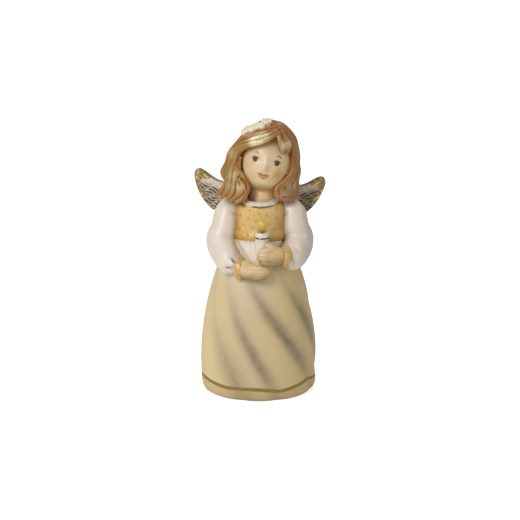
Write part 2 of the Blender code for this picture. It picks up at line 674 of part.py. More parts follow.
def wing(side, lift, span, collection):
    """A wing with a thick leading edge and rows of overlapping feathers on both faces."""
    root = Vector((BODY_LEAN + side * WING_ASIDE, BODICE_RADIUS * BODICE_FLATNESS - WING_SINK,
                   SHOULDER_HEIGHT - WING_ROOT_DROP))
    frame = (Matrix.Translation(root) @ Matrix.Rotation(math.radians(side * WING_SWEEP), 4, "Z")
             @ Matrix.Rotation(math.radians(-side * lift), 4, "Y")
             @ Matrix.Diagonal((side, WING_FLATNESS, 1, 1)))
    edge = [(0, 0, WING_LIFT * 0.1, FEATHER_RADIUS),
            (span * 0.35, 0, WING_LIFT * 0.40, FEATHER_RADIUS),
            (span * 0.68, 0, WING_LIFT * 0.64, FEATHER_RADIUS * 0.9),
            (span * 0.92, 0, WING_LIFT * 0.95, FEATHER_RADIUS * 0.8)]
    forms = [limb("wing_edge", edge, collection, count=12, sides=3)]
    for count, length, height in FEATHER_ROWS:
        for face in ((-1, 1) if height else (1,)):
            for i in range(count):
                t = i / (count - 1)
                tip_out = (span * (1.0 - 0.33 * t ** 1.5) - FEATHER_RADIUS * 0.4) * length
                tip_up = WING_LIFT * 0.80 - (WING_LIFT * 0.80 + WING_DROP) * t
                tip_up *= 0.45 + 0.55 * length
                step = height * face
                points = [(span * 0.12, step * 0.8, WING_LIFT * 0.30 * (1 - t) - WING_DROP * 0.4 * t,
                           FEATHER_RADIUS * 0.9),
                          (tip_out * 0.6, step, WING_LIFT * 0.46 * (1 - t) * length + tip_up * 0.5 * t,
                           FEATHER_RADIUS),
                          (tip_out, step * 0.7, tip_up, FEATHER_RADIUS * 0.9)]
                forms.append(limb("feather", points, collection, count=8, sides=2))
    for form in forms:
        form.data.transform(frame)
        if side < 0:
            form.data.flip_normals()
    return forms


def fused(forms, name, collection):
    """All the forms as one mesh, joined as wet clay is."""
    shape = bmesh.new()
    for item in forms:
        shape.from_mesh(item.data)
    mesh = bpy.data.meshes.new(name)
    shape.to_mesh(mesh)
    shape.free()
    for item in forms:
        bpy.data.objects.remove(item, do_unlink=True)
    item = place(name, mesh, collection)
    remesh = item.modifiers.new("fuse", "REMESH")
    remesh.mode = "VOXEL"
    remesh.voxel_size = FUSE_SIZE
    sponge = item.modifiers.new("sponge", "SMOOTH")
    sponge.factor = 0.35
    sponge.iterations = 1
    item = as_mesh(item, collection)
    faces = 2 * len(item.data.polygons)
    thin = item.modifiers.new("thin", "DECIMATE")
    thin.ratio = min(1.0, FACE_BUDGET / faces)
    return as_mesh(item, collection)


def hollow_profile():
    """Radius and height of the hollow, from the top down."""
    top = SHOULDER_HEIGHT - WALL
    floor = FOOT_RECESS + FLOOR
    rows = 12
    profile = [(0, top), (BODICE_RADIUS - WALL - 2.4 * MM, top - 0.6 * MM),
               (BODICE_RADIUS - WALL - 1.2 * MM, top - 2.0 * MM),
               (BODICE_RADIUS - WALL - 1.2 * MM, WAIST_HEIGHT)]
    for i in range(1, rows + 1):
        height = WAIST_HEIGHT + (floor + 1.5 * MM - WAIST_HEIGHT) * i / rows
        profile.append((bell(height) - WALL - FOLD_DEPTH, height))
    profile += [(bell(0) - WALL - FOLD_DEPTH - 1.5 * MM, floor), (0, floor)]
    return profile


def cut(item, cutter):
    cutter.hide_render = True
    cutter.display_type = "WIRE"
    boolean = item.modifiers.new(cutter.name, "BOOLEAN")
    boolean.operation = "DIFFERENCE"
    boolean.solver = "EXACT"
    boolean.object = cutter


def ceramic():
    material = bpy.data.materials.new("glazed_ceramic")
    material.use_nodes = True
    surface = material.node_tree.nodes["Principled BSDF"]
    surface.inputs["Base Color"].default_value = (0.60, 0.46, 0.27, 1)
    surface.inputs["Roughness"].default_value = 0.35
    surface.inputs["Metallic"].default_value = 0.0
    return material


def build():
    clear_scene()
    parts = new_collection("angel_figurine_with_candle")
    cutters = new_collection("cutters")
    forms = [skirt(parts), bodice(parts), blouse_front(parts), neck(parts), collar(parts),
             head(parts), hair_cap(parts)]
    forms += front_hair(parts)
    forms += back_hair(parts)
    forms += blossoms(parts)
    forms += candle(parts)
    for side, lift, span in ((-1, LEFT_WING_LIFT, WING_SPAN),
                             (1, RIGHT_WING_LIFT, WING_SPAN - RIGHT_WING_SHORTER)):
        forms += [sleeve(side, parts), cuff(side, parts)]
        forms += hand(side, parts)
        forms += wing(side, lift, span, parts)
    figurine = fused(forms, "angel_figurine", parts)

    trim = turned("ground_trim", [(0, 0), (HEM_RADIUS * 1.5, 0), (HEM_RADIUS * 1.5, -5 * MM),
                                  (0, -5 * MM)], cutters, steps=48)
    inner = HEM_RADIUS - HEM_TUCK - FOOT_WIDTH
    recess = turned("foot_recess", [(0, FOOT_RECESS), (inner - 0.6 * MM, FOOT_RECESS),
                                    (inner, -1 * MM), (0, -1 * MM)], cutters, steps=48)
    hollow = turned("hollow", hollow_profile(), cutters, steps=32)
    vent = turned("vent", [(0, FLOOR + 4 * MM), (VENT_RADIUS, FLOOR + 4 * MM),
                           (VENT_RADIUS, -2 * MM), (0, -2 * MM)], cutters, steps=20)
    for cutter in (trim, recess, hollow, vent):
        cut(figurine, cutter)
    figurine.data.materials.clear()
    figurine.data.materials.append(ceramic())
    figurine.data.shade_smooth()
    figurine.data.set_sharp_from_angle(angle=math.radians(50))


build()
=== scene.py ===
"""Dressed model of a slip cast angel figurine that holds a modelled candle.

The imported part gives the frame. Every painted and glazed form is modelled anew
around it from the same sizes, and stands for the one ceramic node.
Metres, +Z up, the face looks along -Y.
"""
import math
import random

import bpy
import numpy as np
from mathutils import Matrix, Vector
from mathutils.kdtree import KDTree


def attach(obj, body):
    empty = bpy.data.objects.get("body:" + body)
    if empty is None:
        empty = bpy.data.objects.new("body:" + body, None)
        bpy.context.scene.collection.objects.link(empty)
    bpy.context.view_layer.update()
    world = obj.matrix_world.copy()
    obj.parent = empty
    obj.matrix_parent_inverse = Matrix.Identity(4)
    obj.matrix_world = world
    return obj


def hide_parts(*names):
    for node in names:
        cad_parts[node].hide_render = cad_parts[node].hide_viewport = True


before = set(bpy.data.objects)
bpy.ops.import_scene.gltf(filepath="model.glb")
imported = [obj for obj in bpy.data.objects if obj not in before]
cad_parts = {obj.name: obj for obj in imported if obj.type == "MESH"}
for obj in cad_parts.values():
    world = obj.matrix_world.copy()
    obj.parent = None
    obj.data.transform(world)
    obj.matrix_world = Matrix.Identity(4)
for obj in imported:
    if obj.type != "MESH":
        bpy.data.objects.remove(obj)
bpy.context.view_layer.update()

MM = 0.001

# Skirt; a fold's half width is in degrees
HEM_RADIUS = 21.0 * MM
HEM_STRAIGHT = 10.0 * MM
HEM_ROUNDING = 4.5 * MM
HEM_TUCK = 1.7 * MM
WAIST_RADIUS = 10.4 * MM
WAIST_HEIGHT = 57.0 * MM
WAIST_ROUNDING = 3.0 * MM
FOLD_DEPTH = 1.0 * MM
FOLD_HALF_WIDTH = 10.0
FOLD_FOOT = 9.0 * MM
# Angle of each fold at the hem and its turn up to the waist, in degrees from the front
FOLDS = ((-16, -86), (20, -89), (73, -112), (102, -85), (138, -80), (172, -80), (206, -80),
         (240, -80), (275, -80))
# Sprayed shade in each fold: its strength, the height where it is darkest and its reach in mm,
# and its width as a share of the usual one
SPRAY = ((0.55, 9, 17, 1.7), (0.85, 16, 17, 1.05), (1.0, 24, 18, 1.15), (0.85, 27, 14, 1.25),
         (0.8, 20, 20, 1.0), (0.8, 18, 18, 1.1), (0.8, 22, 20, 1.0), (0.8, 18, 20, 1.1),
         (0.7, 16, 18, 1.2))
# Angle and height in mm of the gold line above the hem, round the skirt
HEM_LINE = ((-72, 5.8), (-46, 5.0), (-28, 4.5), (-6, 4.9), (13, 4.1), (22, 3.8), (36, 4.5),
            (57, 5.5), (76, 5.2), (110, 5.9), (150, 4.7), (190, 5.6), (230, 4.6), (262, 5.6))
HEM_LINE_WIDTH = 1.3

# Foot, hollow and vent
FOOT_WIDTH = 3.6 * MM
FOOT_RECESS = 0.8 * MM
WALL = 3.0 * MM
FLOOR = 2.6 * MM
VENT_RADIUS = 1.5 * MM

# Bodice, blouse front and collar
BODICE_HEIGHT = 13.4 * MM
BODICE_RADIUS = 9.5 * MM
BODICE_FLATNESS = 0.92
BODICE_LIP = 1.0 * MM
BODICE_OVERHANG = 0.4 * MM
BODICE_SCALLOPS = 17
BODICE_SCALLOP_DEPTH = 0.25 * MM
BODY_LEAN = 0.6 * MM
BLOUSE_ANGLE = 65.0
BLOUSE_POINT_ANGLE = 10.0
BLOUSE_DROP = 9.0 * MM
BLOUSE_RELIEF = 0.45 * MM
BLOUSE_PLEATS = 12
COLLAR_RADIUS = 5.5 * MM
COLLAR_DEPTH = 6.7 * MM
COLLAR_FORWARD = 1.2 * MM
COLLAR_WIDTH = 1.6 * MM
COLLAR_FRILLS = 15
NECK_RADIUS = 4.1 * MM
# Painted dots of the bodice: across and height in mm, seen from the front
DOTS = ((-5.2, 68.8), (-3.1, 68.0), (0.2, 66.9), (3.1, 66.2), (-3.5, 65.0), (-0.8, 64.3),
        (3.6, 62.8), (6.3, 64.7), (-6.5, 65.6), (-5.5, 62.4), (6.6, 68.2), (5.6, 60.9),
        (-2.2, 61.6), (-6.9, 60.3), (-3.9, 59.0))
DOT_RADIUS = 0.5

# Arms: sleeve, cuff and hand sizes
SLEEVE_RADIUS = 5.4 * MM
SHOULDER_RADIUS = 4.7 * MM
ELBOW_REACH = 13.9 * MM
ELBOW_DROP = 15.5 * MM
CUFF_RADIUS = 3.1 * MM
CUFF_THICKNESS = 0.8 * MM
CUFF_WIDTH = 2.6 * MM
FINGER_RADIUS = 0.95 * MM
# Per side, with the hand at -X first: the wrist from the candle's axis, the palm from the
# wrist, the palm's width, the lengths of four fingers, and the thumb from the palm
WRIST_PLACE = ((-8.0, 0.2, 0.5), (8.1, 1.0, -1.3))
PALM_PLACE = ((4.4, -2.9, -0.5), (-4.4, -2.9, 1.1))
PALM_SIZE = (7.8 * MM, 4.4 * MM)
PALM_WIDTH = (5.4 * MM, 7.2 * MM)
FINGER_LENGTHS = ((4.9, 5.7, 5.6, 4.8), (4.4, 5.0, 4.9, 4.3))
THUMB = (((-1.6, -0.2, 1.5), (1.8, -0.9, 1.8), (4.8, -0.7, 1.5)),
         ((0.6, -0.5, 2.3), (-0.7, -0.9, 3.6), (-1.9, -0.9, 4.1)))
# The hand at -X in mm: the ball of its thumb from the wrist, and where its fingers meet the
# other hand, from the palm
HEEL_PLACE = (2.4, -1.4, 1.1)
HEEL_SIZE = (3.0, 2.0, 2.4)
PAD_PLACE = (5.2, 1.4, 1.3)
PAD_SIZE = (1.5, 1.5, 1.3)
# Short creases in the sleeves: x, height, half length, half width in mm, slant and strength
SLEEVE_DENTS = (((-9.1, 51.3, 1.3, 0.45, -50, 1.0), (-10.9, 48.5, 1.4, 0.4, 4, 0.9),
                 (-11.6, 58.8, 1.5, 0.9, -20, 0.22)),
                ((15.4, 57.0, 1.5, 0.55, -8, 0.22), (18.0, 56.8, 1.2, 0.5, 15, 0.22),
                 (12.6, 48.0, 1.2, 0.6, -25, 0.3)))
# The little raised point at the elbow of the sleeve at +X: x and height in mm
ELBOW_POINT = (17.1, 57.7)

# Candle and flame
CANDLE_RADIUS = 2.5 * MM
CANDLE_LENGTH = 15.0 * MM
CANDLE_RISE = 4.6 * MM
CANDLE_BAND_DROP = 1.6 * MM
CANDLE_BAND_WIDTH = 0.5 * MM
CANDLE_STANDOFF = 14.2 * MM
CANDLE_ASIDE = 0.7 * MM
LOW_HAND_RISE = 0.9 * MM
HANDS_APART = 6.0 * MM
FLAME_HEIGHT = 5.3 * MM
FLAME_RADIUS = 1.7 * MM

# Head, in its own frame, with its turns in degrees
HEAD_WIDTH = 18.2 * MM
HEAD_DEPTH = 19.6 * MM
HEAD_HEIGHT = 21.4 * MM
HEAD_LIFT = 14.5 * MM
HEAD_OFFSET = 2.4 * MM
JAW_TAPER = 0.04
CHIN_DROP = 1.0 * MM
CHIN_FORWARD = 0.9 * MM
HEAD_ROLL = 12.0
HEAD_PITCH = -11.0
HEAD_YAW = -3.5
HAIR_ROLL = 5.0

# Hair
HAIR_THICKNESS = 1.9 * MM
CROWN_THICKNESS = 3.6 * MM
HAIR_LENGTH = 15.5 * MM
LOCK_RADIUS = 0.95 * MM
LOCK_STEP = 0.6 * MM
UNDER_LAYER = 1.25
UNDER_MARGIN = 0.2
FACE_OPENING = (10.6 * MM, 13.0 * MM)
BACK_LOCKS = 21
WAVE_DEPTH = 0.8 * MM
TIP_FLARE = 1.2 * MM
PARTING_ASIDE = 2.4 * MM
HAIR_GRAIN = 0.24 * MM

# Blossoms
BLOSSOM_RADIUS = 2.2 * MM
PETAL_RADIUS = 1.2 * MM
PETALS = 5
# Centres in mm from the centre of the head
BLOSSOM_PLACES = ((-7.0, -4.8, 11.9), (-3.6, -4.9, 13.2), (-0.2, -3.9, 14.7))
BUD_PLACES = ((-7.9, -5.0, 10.7), (-5.2, -5.8, 12.1), (-1.9, -5.6, 13.3))
BUD_RADIUS = 1.45 * MM

# Wings, with the lift of each and their sweep in degrees
WING_SPAN = 19.4 * MM
RIGHT_WING_SHORTER = 1.2 * MM
LEFT_WING_LIFT = 0.5
RIGHT_WING_LIFT = -10.0
WING_ASIDE = 5.0 * MM
WING_ROOT_DROP = 1.0 * MM
WING_SINK = 1.2 * MM
WING_FLATNESS = 0.8
WING_SWEEP = 10.0
# Outline of a wing from its root over the tip and back, outwards and upwards in mm
WING_OUTLINE = ((0, 1.5), (4, 3.4), (8.1, 5.0), (10.3, 5.6), (12.4, 6.7), (14.4, 8.1),
                (16.4, 9.3), (17.7, 9.4), (18.8, 8.5), (19.2, 6.9), (18.9, 5.0), (18.4, 3.2),
                (17.8, 1.5), (17.0, -0.2), (16.0, -1.9), (14.9, -3.4), (13.6, -4.7), (12.1, -5.7),
                (9.5, -6.2), (6.0, -5.6), (2.5, -3.6), (0, -1.5))
WING_THICKNESS = 2.2 * MM
WING_EDGE = 0.8 * MM

SHOULDER_HEIGHT = WAIST_HEIGHT + BODICE_HEIGHT
HEAD_CENTRE = Vector((BODY_LEAN + HEAD_OFFSET, 0, SHOULDER_HEIGHT + HEAD_LIFT))
CANDLE_AXIS = Vector((BODY_LEAN + CANDLE_ASIDE, -CANDLE_STANDOFF, 0))
CANDLE_TOP = WAIST_HEIGHT + CANDLE_RISE
HAND_HEIGHT_LOW = CANDLE_TOP - CANDLE_LENGTH + LOW_HAND_RISE

# Camera, which is fitted to the photograph, and light
CAMERA_ELEVATION = 15.5
CAMERA_AIM = (0.54 * MM, 0, 47.36 * MM)
CAMERA_LENS = 191.4
# Square lamps: name, place, size in metres and power in watts
LAMPS = (("window", (-0.6, -0.75, 0.7), 0.5, 6.4), ("filler", (0.9, -0.55, 0.35), 0.7, 0.9),
         ("crown", (0.1, 0.35, 1.0), 0.6, 2.0))
ROOM_LIGHT = 0.36
FLOOR_GLOW = 0.62


# Modelling by hand, one small step per function

def pick(*items):
    """Selects only these, with the last one active."""
    bpy.ops.object.select_all(action="DESELECT")
    for item in items:
        item.select_set(True)
        bpy.context.view_layer.objects.active = item
    return items[-1]


def fresh(name):
    """The object that an operator has just added, named."""
    item = bpy.context.object
    item.name = name
    item.data.name = name
    return item


def modify(item, kind, **settings):
    """Gives a modifier its settings and applies it."""
    pick(item)
    modifier = item.modifiers.new(kind.lower(), kind)
    for name, value in settings.items():
        setattr(modifier, name, value)
    bpy.ops.object.modifier_apply(modifier=modifier.name)
    return item


def joined(items, name):
    """Several objects as one."""
    pick(*items)
    bpy.ops.object.join()
    return fresh(name)


def welded(item, distance=0.002 * MM):
    """Merges doubles and turns all faces outwards."""
    pick(item)
    bpy.ops.object.mode_set(mode="EDIT")
    bpy.ops.mesh.select_all(action="SELECT")
    bpy.ops.mesh.remove_doubles(threshold=distance)
    bpy.ops.mesh.normals_make_consistent(inside=False)
    bpy.ops.object.mode_set(mode="OBJECT")
    return item


def select_faces(item, test):
    """Enters edit mode with only the faces selected that pass the test."""
    pick(item)
    bpy.ops.object.mode_set(mode="EDIT")
    bpy.ops.mesh.select_mode(type="FACE")
    bpy.ops.mesh.select_all(action="DESELECT")
    bpy.ops.object.mode_set(mode="OBJECT")
    for face in item.data.polygons:
        face.select = test(face.center)
    bpy.ops.object.mode_set(mode="EDIT")


def through(points, count):
    """Evenly numbered points of a smooth curve through the given ones."""
    rows = np.array([tuple(p) for p in points], float)
    rows = np.vstack([rows[:1], rows, rows[-1:]])
    t = np.linspace(0, len(rows) - 3, count)
    k = np.minimum(t.astype(int), len(rows) - 4)
    t = (t - k)[:, None]
    a, b, c, d = rows[k], rows[k + 1], rows[k + 2], rows[k + 3]
    return 0.5 * (2 * b + (c - a) * t + (2 * a - 5 * b + 4 * c - d) * t * t
                  + (3 * b - a - 3 * c + d) * t ** 3)


def turned(name, profile, steps):
    """A profile of (radius, height), drawn point by point and spun round the Z axis."""
    bpy.ops.object.select_all(action="DESELECT")
    bpy.ops.mesh.primitive_plane_add(size=1 * MM)
    item = fresh(name)
    bpy.ops.object.mode_set(mode="EDIT")
    bpy.ops.mesh.merge(type="CENTER")
    bpy.ops.transform.translate(value=(profile[0][0], 0, profile[0][1]))
    for (r0, z0), (r1, z1) in zip(profile, profile[1:]):
        bpy.ops.mesh.extrude_vertices_move(
            TRANSFORM_OT_translate={"value": (r1 - r0, 0, z1 - z0)})
    bpy.ops.mesh.select_all(action="SELECT")
    bpy.ops.mesh.spin(steps=steps, angle=math.tau, center=(0, 0, 0), axis=(0, 0, 1))
    bpy.ops.object.mode_set(mode="OBJECT")
    return welded(item)


def swept(name, strands, sides):
    """Round tapering strands, each a row of (x, y, z, radius), as one mesh."""
    bpy.ops.object.select_all(action="DESELECT")
    bpy.ops.curve.primitive_bezier_curve_add()
    item = fresh(name)
    curve = item.data
    curve.splines.clear()
    curve.dimensions = "3D"
    curve.bevel_depth = 1
    curve.bevel_resolution = sides
    curve.use_fill_caps = True
    for rows in strands:
        spline = curve.splines.new("POLY")
        spline.points.add(len(rows) - 1)
        for point, (x, y, z, radius) in zip(spline.points, rows):
            point.co = (x, y, z, 1)
            point.radius = max(radius, 0.04 * MM)
    bpy.ops.object.convert(target="MESH")
    return welded(bpy.context.object)


def rounded_limb(points, count):
    """A smooth row of (x, y, z, radius) whose two ends are rounded off."""
    rows = through(points, count)
    for end, step in ((0, 1), (-1, -1)):
        tip = rows[end].copy()
        inward = rows[end] - rows[end + step]
        inward[3] = 0
        length = np.linalg.norm(inward[:3])
        cap = []
        for angle in (25, 50, 72, 86):
            row = tip.copy()
            row[:3] += inward[:3] / length * tip[3] * math.sin(math.radians(angle)) * 0.9
            row[3] = tip[3] * math.cos(math.radians(angle))
            cap.append(row)
        rows = np.vstack([cap[::-1], rows]) if end == 0 else np.vstack([rows, cap])
    return rows


def ball(name, centre, radii, turn=None, segments=32):
    """An ellipsoid, turned by a matrix if one is given."""
    bpy.ops.object.select_all(action="DESELECT")
    bpy.ops.mesh.primitive_uv_sphere_add(segments=segments, ring_count=segments // 2, radius=1)
    item = fresh(name)
    item.data.transform(Matrix.Translation(centre) @ (turn or Matrix())
                        @ Matrix.Diagonal((*radii, 1)))
    return item


def points_of(item):
    """The vertices as an array, one row each."""
    values = np.empty(len(item.data.vertices) * 3, np.float32)
    item.data.vertices.foreach_get("co", values)
    return values.reshape(-1, 3).astype(float)


def normals_of(item):
    """The direction in which the surface faces at each vertex."""
    values = np.empty(len(item.data.vertices) * 3, np.float32)
    item.data.vertex_normals.foreach_get("vector", values)
    return values.reshape(-1, 3).astype(float)


def put_points(item, points):
    """Moves the vertices to these rows."""
    item.data.vertices.foreach_set("co", points.astype(np.float32).ravel())
    item.data.update()


def keep(item, name, values):
    """Stores one number, a vector or a colour per vertex, for the material to read."""
    kinds = {1: "FLOAT", 3: "FLOAT_VECTOR", 4: "FLOAT_COLOR"}
    width = 1 if values.ndim == 1 else values.shape[1]
    attribute = item.data.attributes.new(name, kinds[width], "POINT")
    field = {1: "value", 3: "vector", 4: "color"}[width]
    attribute.data.foreach_set(field, values.astype(np.float32).ravel())


def step_between(low, high, values):
    """A soft step from 0 below the low value to 1 above the high one."""
    t = np.clip((values - low) / (high - low), 0, 1)
    return t * t * (3 - 2 * t)


def spot(a, b, centre, size, power=2):
    """A soft round or oval patch that is 1 at its centre."""
    u = (a - centre[0]) / size[0]
    v = (b - centre[1]) / size[1]
    return np.exp(-(u * u + v * v) ** (power / 2))


def brushed(coats):
    """Coats of paint laid one over another, each a cover from 0 to 1 and a colour."""
    colours = np.zeros((len(coats[0][0]), 3))
    cover = np.zeros(len(colours))
    for mask, code in coats:
        mask = np.clip(mask, 0, 1)
        total = mask + cover * (1 - mask)
        share = np.divide(mask, total, out=np.zeros_like(total), where=total > 1e-6)
        colours = colours * (1 - share)[:, None] + np.array(colour(code)[:3]) * share[:, None]
        cover = total
    return np.hstack([colours, cover[:, None]])


def relief(item, rounds, reach):
    """Half where the surface is even, towards 0 in grooves and towards 1 on ridges."""
    pick(item)
    bpy.ops.object.duplicate()
    twin = bpy.context.object
    modify(twin, "SMOOTH", factor=0.5, iterations=rounds)
    height = ((points_of(item) - points_of(twin)) * normals_of(item)).sum(axis=1)
    bpy.data.objects.remove(twin, do_unlink=True)
    return np.clip(0.5 + 0.5 * height / reach, 0, 1)


def along_strands(points, strands, centre):
    """The strand nearest each point: its number, the share along it and the offset across it."""
    tree = KDTree(sum(len(rows) for rows in strands))
    spots = []
    for number, rows in enumerate(strands):
        rows = np.asarray(rows)[:, :3]
        tangents = np.gradient(rows, axis=0)
        for step, (row, tangent) in enumerate(zip(rows, tangents)):
            side = np.cross(tangent, row - centre)
            side /= max(np.linalg.norm(side), 1e-12)
            tree.insert(row, len(spots))
            spots.append((number, step / (len(rows) - 1), *row, *side))
    tree.balance()
    spots = np.array(spots)
    nearest = spots[[tree.find(point)[1] for point in points]]
    across = ((points - nearest[:, 2:5]) * nearest[:, 5:8]).sum(axis=1)
    return nearest[:, 0], nearest[:, 1], across


def dress(item, material):
    """Gives a finished piece its material and ties it to the frame."""
    item.data.materials.clear()
    item.data.materials.append(material)
    pick(item)
    bpy.ops.object.shade_smooth()
    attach(item, "root")
    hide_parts("angel_figurine")
    return item


# Materials

def colour(code):
    """A #RRGGBB colour as Blender's linear values."""
    parts = [int(code[i:i + 2], 16) / 255 for i in (1, 3, 5)]
    linear = [v / 12.92 if v <= 0.04045 else ((v + 0.055) / 1.055) ** 2.4 for v in parts]
    return (*linear, 1.0)


def add(tree, kind, values=None, **settings):
    """Adds a node with its settings; a value may be a number, a colour or another's output."""
    made = tree.nodes.new(kind)
    for name, value in settings.items():
        setattr(made, name, value)
    for name, value in (values or {}).items():
        if isinstance(value, bpy.types.NodeSocket):
            tree.links.new(value, made.inputs[name])
        else:
            made.inputs[name].default_value = value
    return made


def finish(name, **sockets):
    """A new material with its own shader, whose plain values are set on the sockets."""
    material = bpy.data.materials.new(name)
    material.use_nodes = True
    surface = material.node_tree.nodes["Principled BSDF"]
    for socket, value in sockets.items():
        surface.inputs[socket.replace("_", " ")].default_value = value
    return material, material.node_tree, surface


def mixed(tree, share, low, high, blend="MIX"):
    """One colour over another, by a share from 0 to 1."""
    made = add(tree, "ShaderNodeMix", data_type="RGBA", blend_type=blend)
    for name, value in (("Factor", share), ("A", low), ("B", high)):
        socket = [s for s in made.inputs if s.name == name and s.type in ("VALUE", "RGBA")
                  and (s.type == "RGBA") == (name != "Factor")][0]
        if isinstance(value, bpy.types.NodeSocket):
            tree.links.new(value, socket)
        else:
            socket.default_value = colour(value) if isinstance(value, str) else value
    return [s for s in made.outputs if s.type == "RGBA"][0]


def figured(tree, kind, a, b=0.0):
    """One step of arithmetic on numbers."""
    return add(tree, "ShaderNodeMath", {0: a, 1: b}, operation=kind).outputs[0]


def times(tree, a, b):
    """The product of two numbers."""
    return figured(tree, "MULTIPLY", a, b)


def ranged(tree, value, low, high, to_low=0.0, to_high=1.0):
    """A number brought from one range to another, with soft ends."""
    return add(tree, "ShaderNodeMapRange",
               {"Value": value, "From Min": low, "From Max": high, "To Min": to_low,
                "To Max": to_high}, interpolation_type="SMOOTHSTEP").outputs[0]


def stored(tree, name, output="Fac"):
    """A value, a vector or a colour that the piece stores on its vertices."""
    return add(tree, "ShaderNodeAttribute", attribute_name=name).outputs[output]


def painted(tree, ground):
    """The paint stored on the vertices, laid over the ground by its own cover."""
    return mixed(tree, stored(tree, "paint", "Alpha"), ground, stored(tree, "paint", "Color"))


def own_place(tree):
    """The place on the piece, in metres along its own axes."""
    return add(tree, "ShaderNodeTexCoord").outputs["Object"]


def along_axis(tree, axis):
    """That place along one axis."""
    return add(tree, "ShaderNodeSeparateXYZ", {0: own_place(tree)}).outputs[axis]


def clouded(tree, scale_mm, detail=3.0, vector=None):
    """Noise whose patches are about so many mm wide."""
    place = vector or own_place(tree)
    return add(tree, "ShaderNodeTexNoise", {"Vector": place, "Scale": 1 / (scale_mm * MM),
                                            "Detail": detail, "Roughness": 0.55}).outputs[0]


def bumped(tree, surface, height, distance_mm, strength):
    """Fine unevenness of the glaze, so many mm high."""
    values = {"Height": height, "Distance": distance_mm * MM, "Strength": strength}
    set_link(tree, surface, "Normal", add(tree, "ShaderNodeBump", values).outputs[0])


def set_link(tree, surface, socket, value):
    """Feeds a socket of the shader from another node."""
    tree.links.new(value, surface.inputs[socket])


def drifting_gloss(tree, surface, scale_mm, low, high):
    """A roughness that drifts between two values over patches so many mm wide."""
    drift = ranged(tree, clouded(tree, scale_mm), 0.3, 0.7, low, high)
    set_link(tree, surface, "Roughness", drift)


def matt_skirt_glaze():
    """Matt beige underglaze on earthenware. Airbrushed grey brown lies in the folds. The colour runs
    darker and more olive towards +X, partly the paint's own olive and partly painted shade on the
    side away from the light, and the gold line near the hem is fired on top."""
    material, tree, surface = finish("matt_beige_underglaze", IOR=1.5)
    drifting_gloss(tree, surface, 1.6, 0.5, 0.62)
    across, height = along_axis(tree, "X"), along_axis(tree, "Z")
    # Paler at -X and darker olive at +X: partly the paint's colour, partly painted shade away from the
    # light
    ground = mixed(tree, ranged(tree, across, -18 * MM, 22 * MM), "#E8D29E", "#D8BF8A")
    rosy = times(tree, ranged(tree, across, 14 * MM, -6 * MM), ranged(tree, across, -20 * MM, -6 * MM))
    ground = mixed(tree, times(tree, rosy, 0.75), ground, "#D6BC98")
    cream = ranged(tree, height, 30 * MM, 50 * MM)
    ground = mixed(tree, times(tree, cream, times(tree, rosy, 0.8)), ground, "#DFD0B6")
    patches = ranged(tree, clouded(tree, 7.0), 0.35, 0.65)
    ground = mixed(tree, times(tree, patches, 0.12), ground, "#C9B47F")
    spray = times(tree, stored(tree, "valley"),
                  ranged(tree, clouded(tree, 2.2, 4.0), 0.2, 0.75, 0.72, 1.0))
    ground = mixed(tree, spray, ground, "#7D6B55")
    grain = ranged(tree, clouded(tree, 0.28, 2.0), 0.35, 0.75)
    ground = mixed(tree, times(tree, grain, 0.06), ground, "#8A7648")
    away = figured(tree, "ABSOLUTE", stored(tree, "above_line"))
    line = ranged(tree, away, HEM_LINE_WIDTH / 2 + 0.06, HEM_LINE_WIDTH / 2 - 0.06)
    worn = ranged(tree, clouded(tree, 0.9, 4.0), 0.28, 0.42, 0.8, 1.0)
    line = times(tree, line, worn)
    clay = ranged(tree, height, 0.25 * MM, 0.05 * MM)
    inside = figured(tree, "MAXIMUM", clay, stored(tree, "bare_clay"))
    ground = mixed(tree, inside, ground, "#E4DCCB")
    below = ranged(tree, stored(tree, "above_line"), 0.0, -0.5)
    ground = mixed(tree, times(tree, below, 0.3), ground, "#B79A62")
    ground = mixed(tree, line, ground, "#9B803C")
    set_link(tree, surface, "Base Color", ground)
    set_link(tree, surface, "Metallic", times(tree, line, 0.3))
    bumped(tree, surface, clouded(tree, 0.35, 3.0), 0.012, 0.5)
    return material


def ochre_bodice_glaze():
    """Ochre underglaze under a satin glaze, brushed on, with painted shade at the sides next to the
    sleeves and under the lip, a dark brown lower edge, and painted dots.
    """
    material, tree, surface = finish("ochre_satin_glaze", IOR=1.5, Coat_Weight=0.25,
                                     Coat_Roughness=0.25)
    strokes = add(tree, "ShaderNodeMapping", {0: own_place(tree), "Scale": (1.6, 1.6, 0.6)})
    brush = ranged(tree, clouded(tree, 0.9, 4.0, strokes.outputs[0]), 0.3, 0.72)
    ground = mixed(tree, times(tree, brush, 0.5), "#E8C47E", "#D6A855")
    # Painted shade at the sides and under the lip, and the dark brown lower edge
    ground = mixed(tree, stored(tree, "edge_shade_and_trim"), ground, "#B88022")
    ground = mixed(tree, stored(tree, "under_lip_shade"), ground, "#6E4E22")
    dots = ranged(tree, stored(tree, "dot_distance"), DOT_RADIUS + 0.3, DOT_RADIUS - 0.35)
    ground = mixed(tree, times(tree, dots, 0.62), ground, "#AD7C33")
    set_link(tree, surface, "Base Color", ground)
    drifting_gloss(tree, surface, 1.1, 0.36, 0.5)
    bumped(tree, surface, clouded(tree, 0.8, 3.0), 0.04, 0.6)
    return material


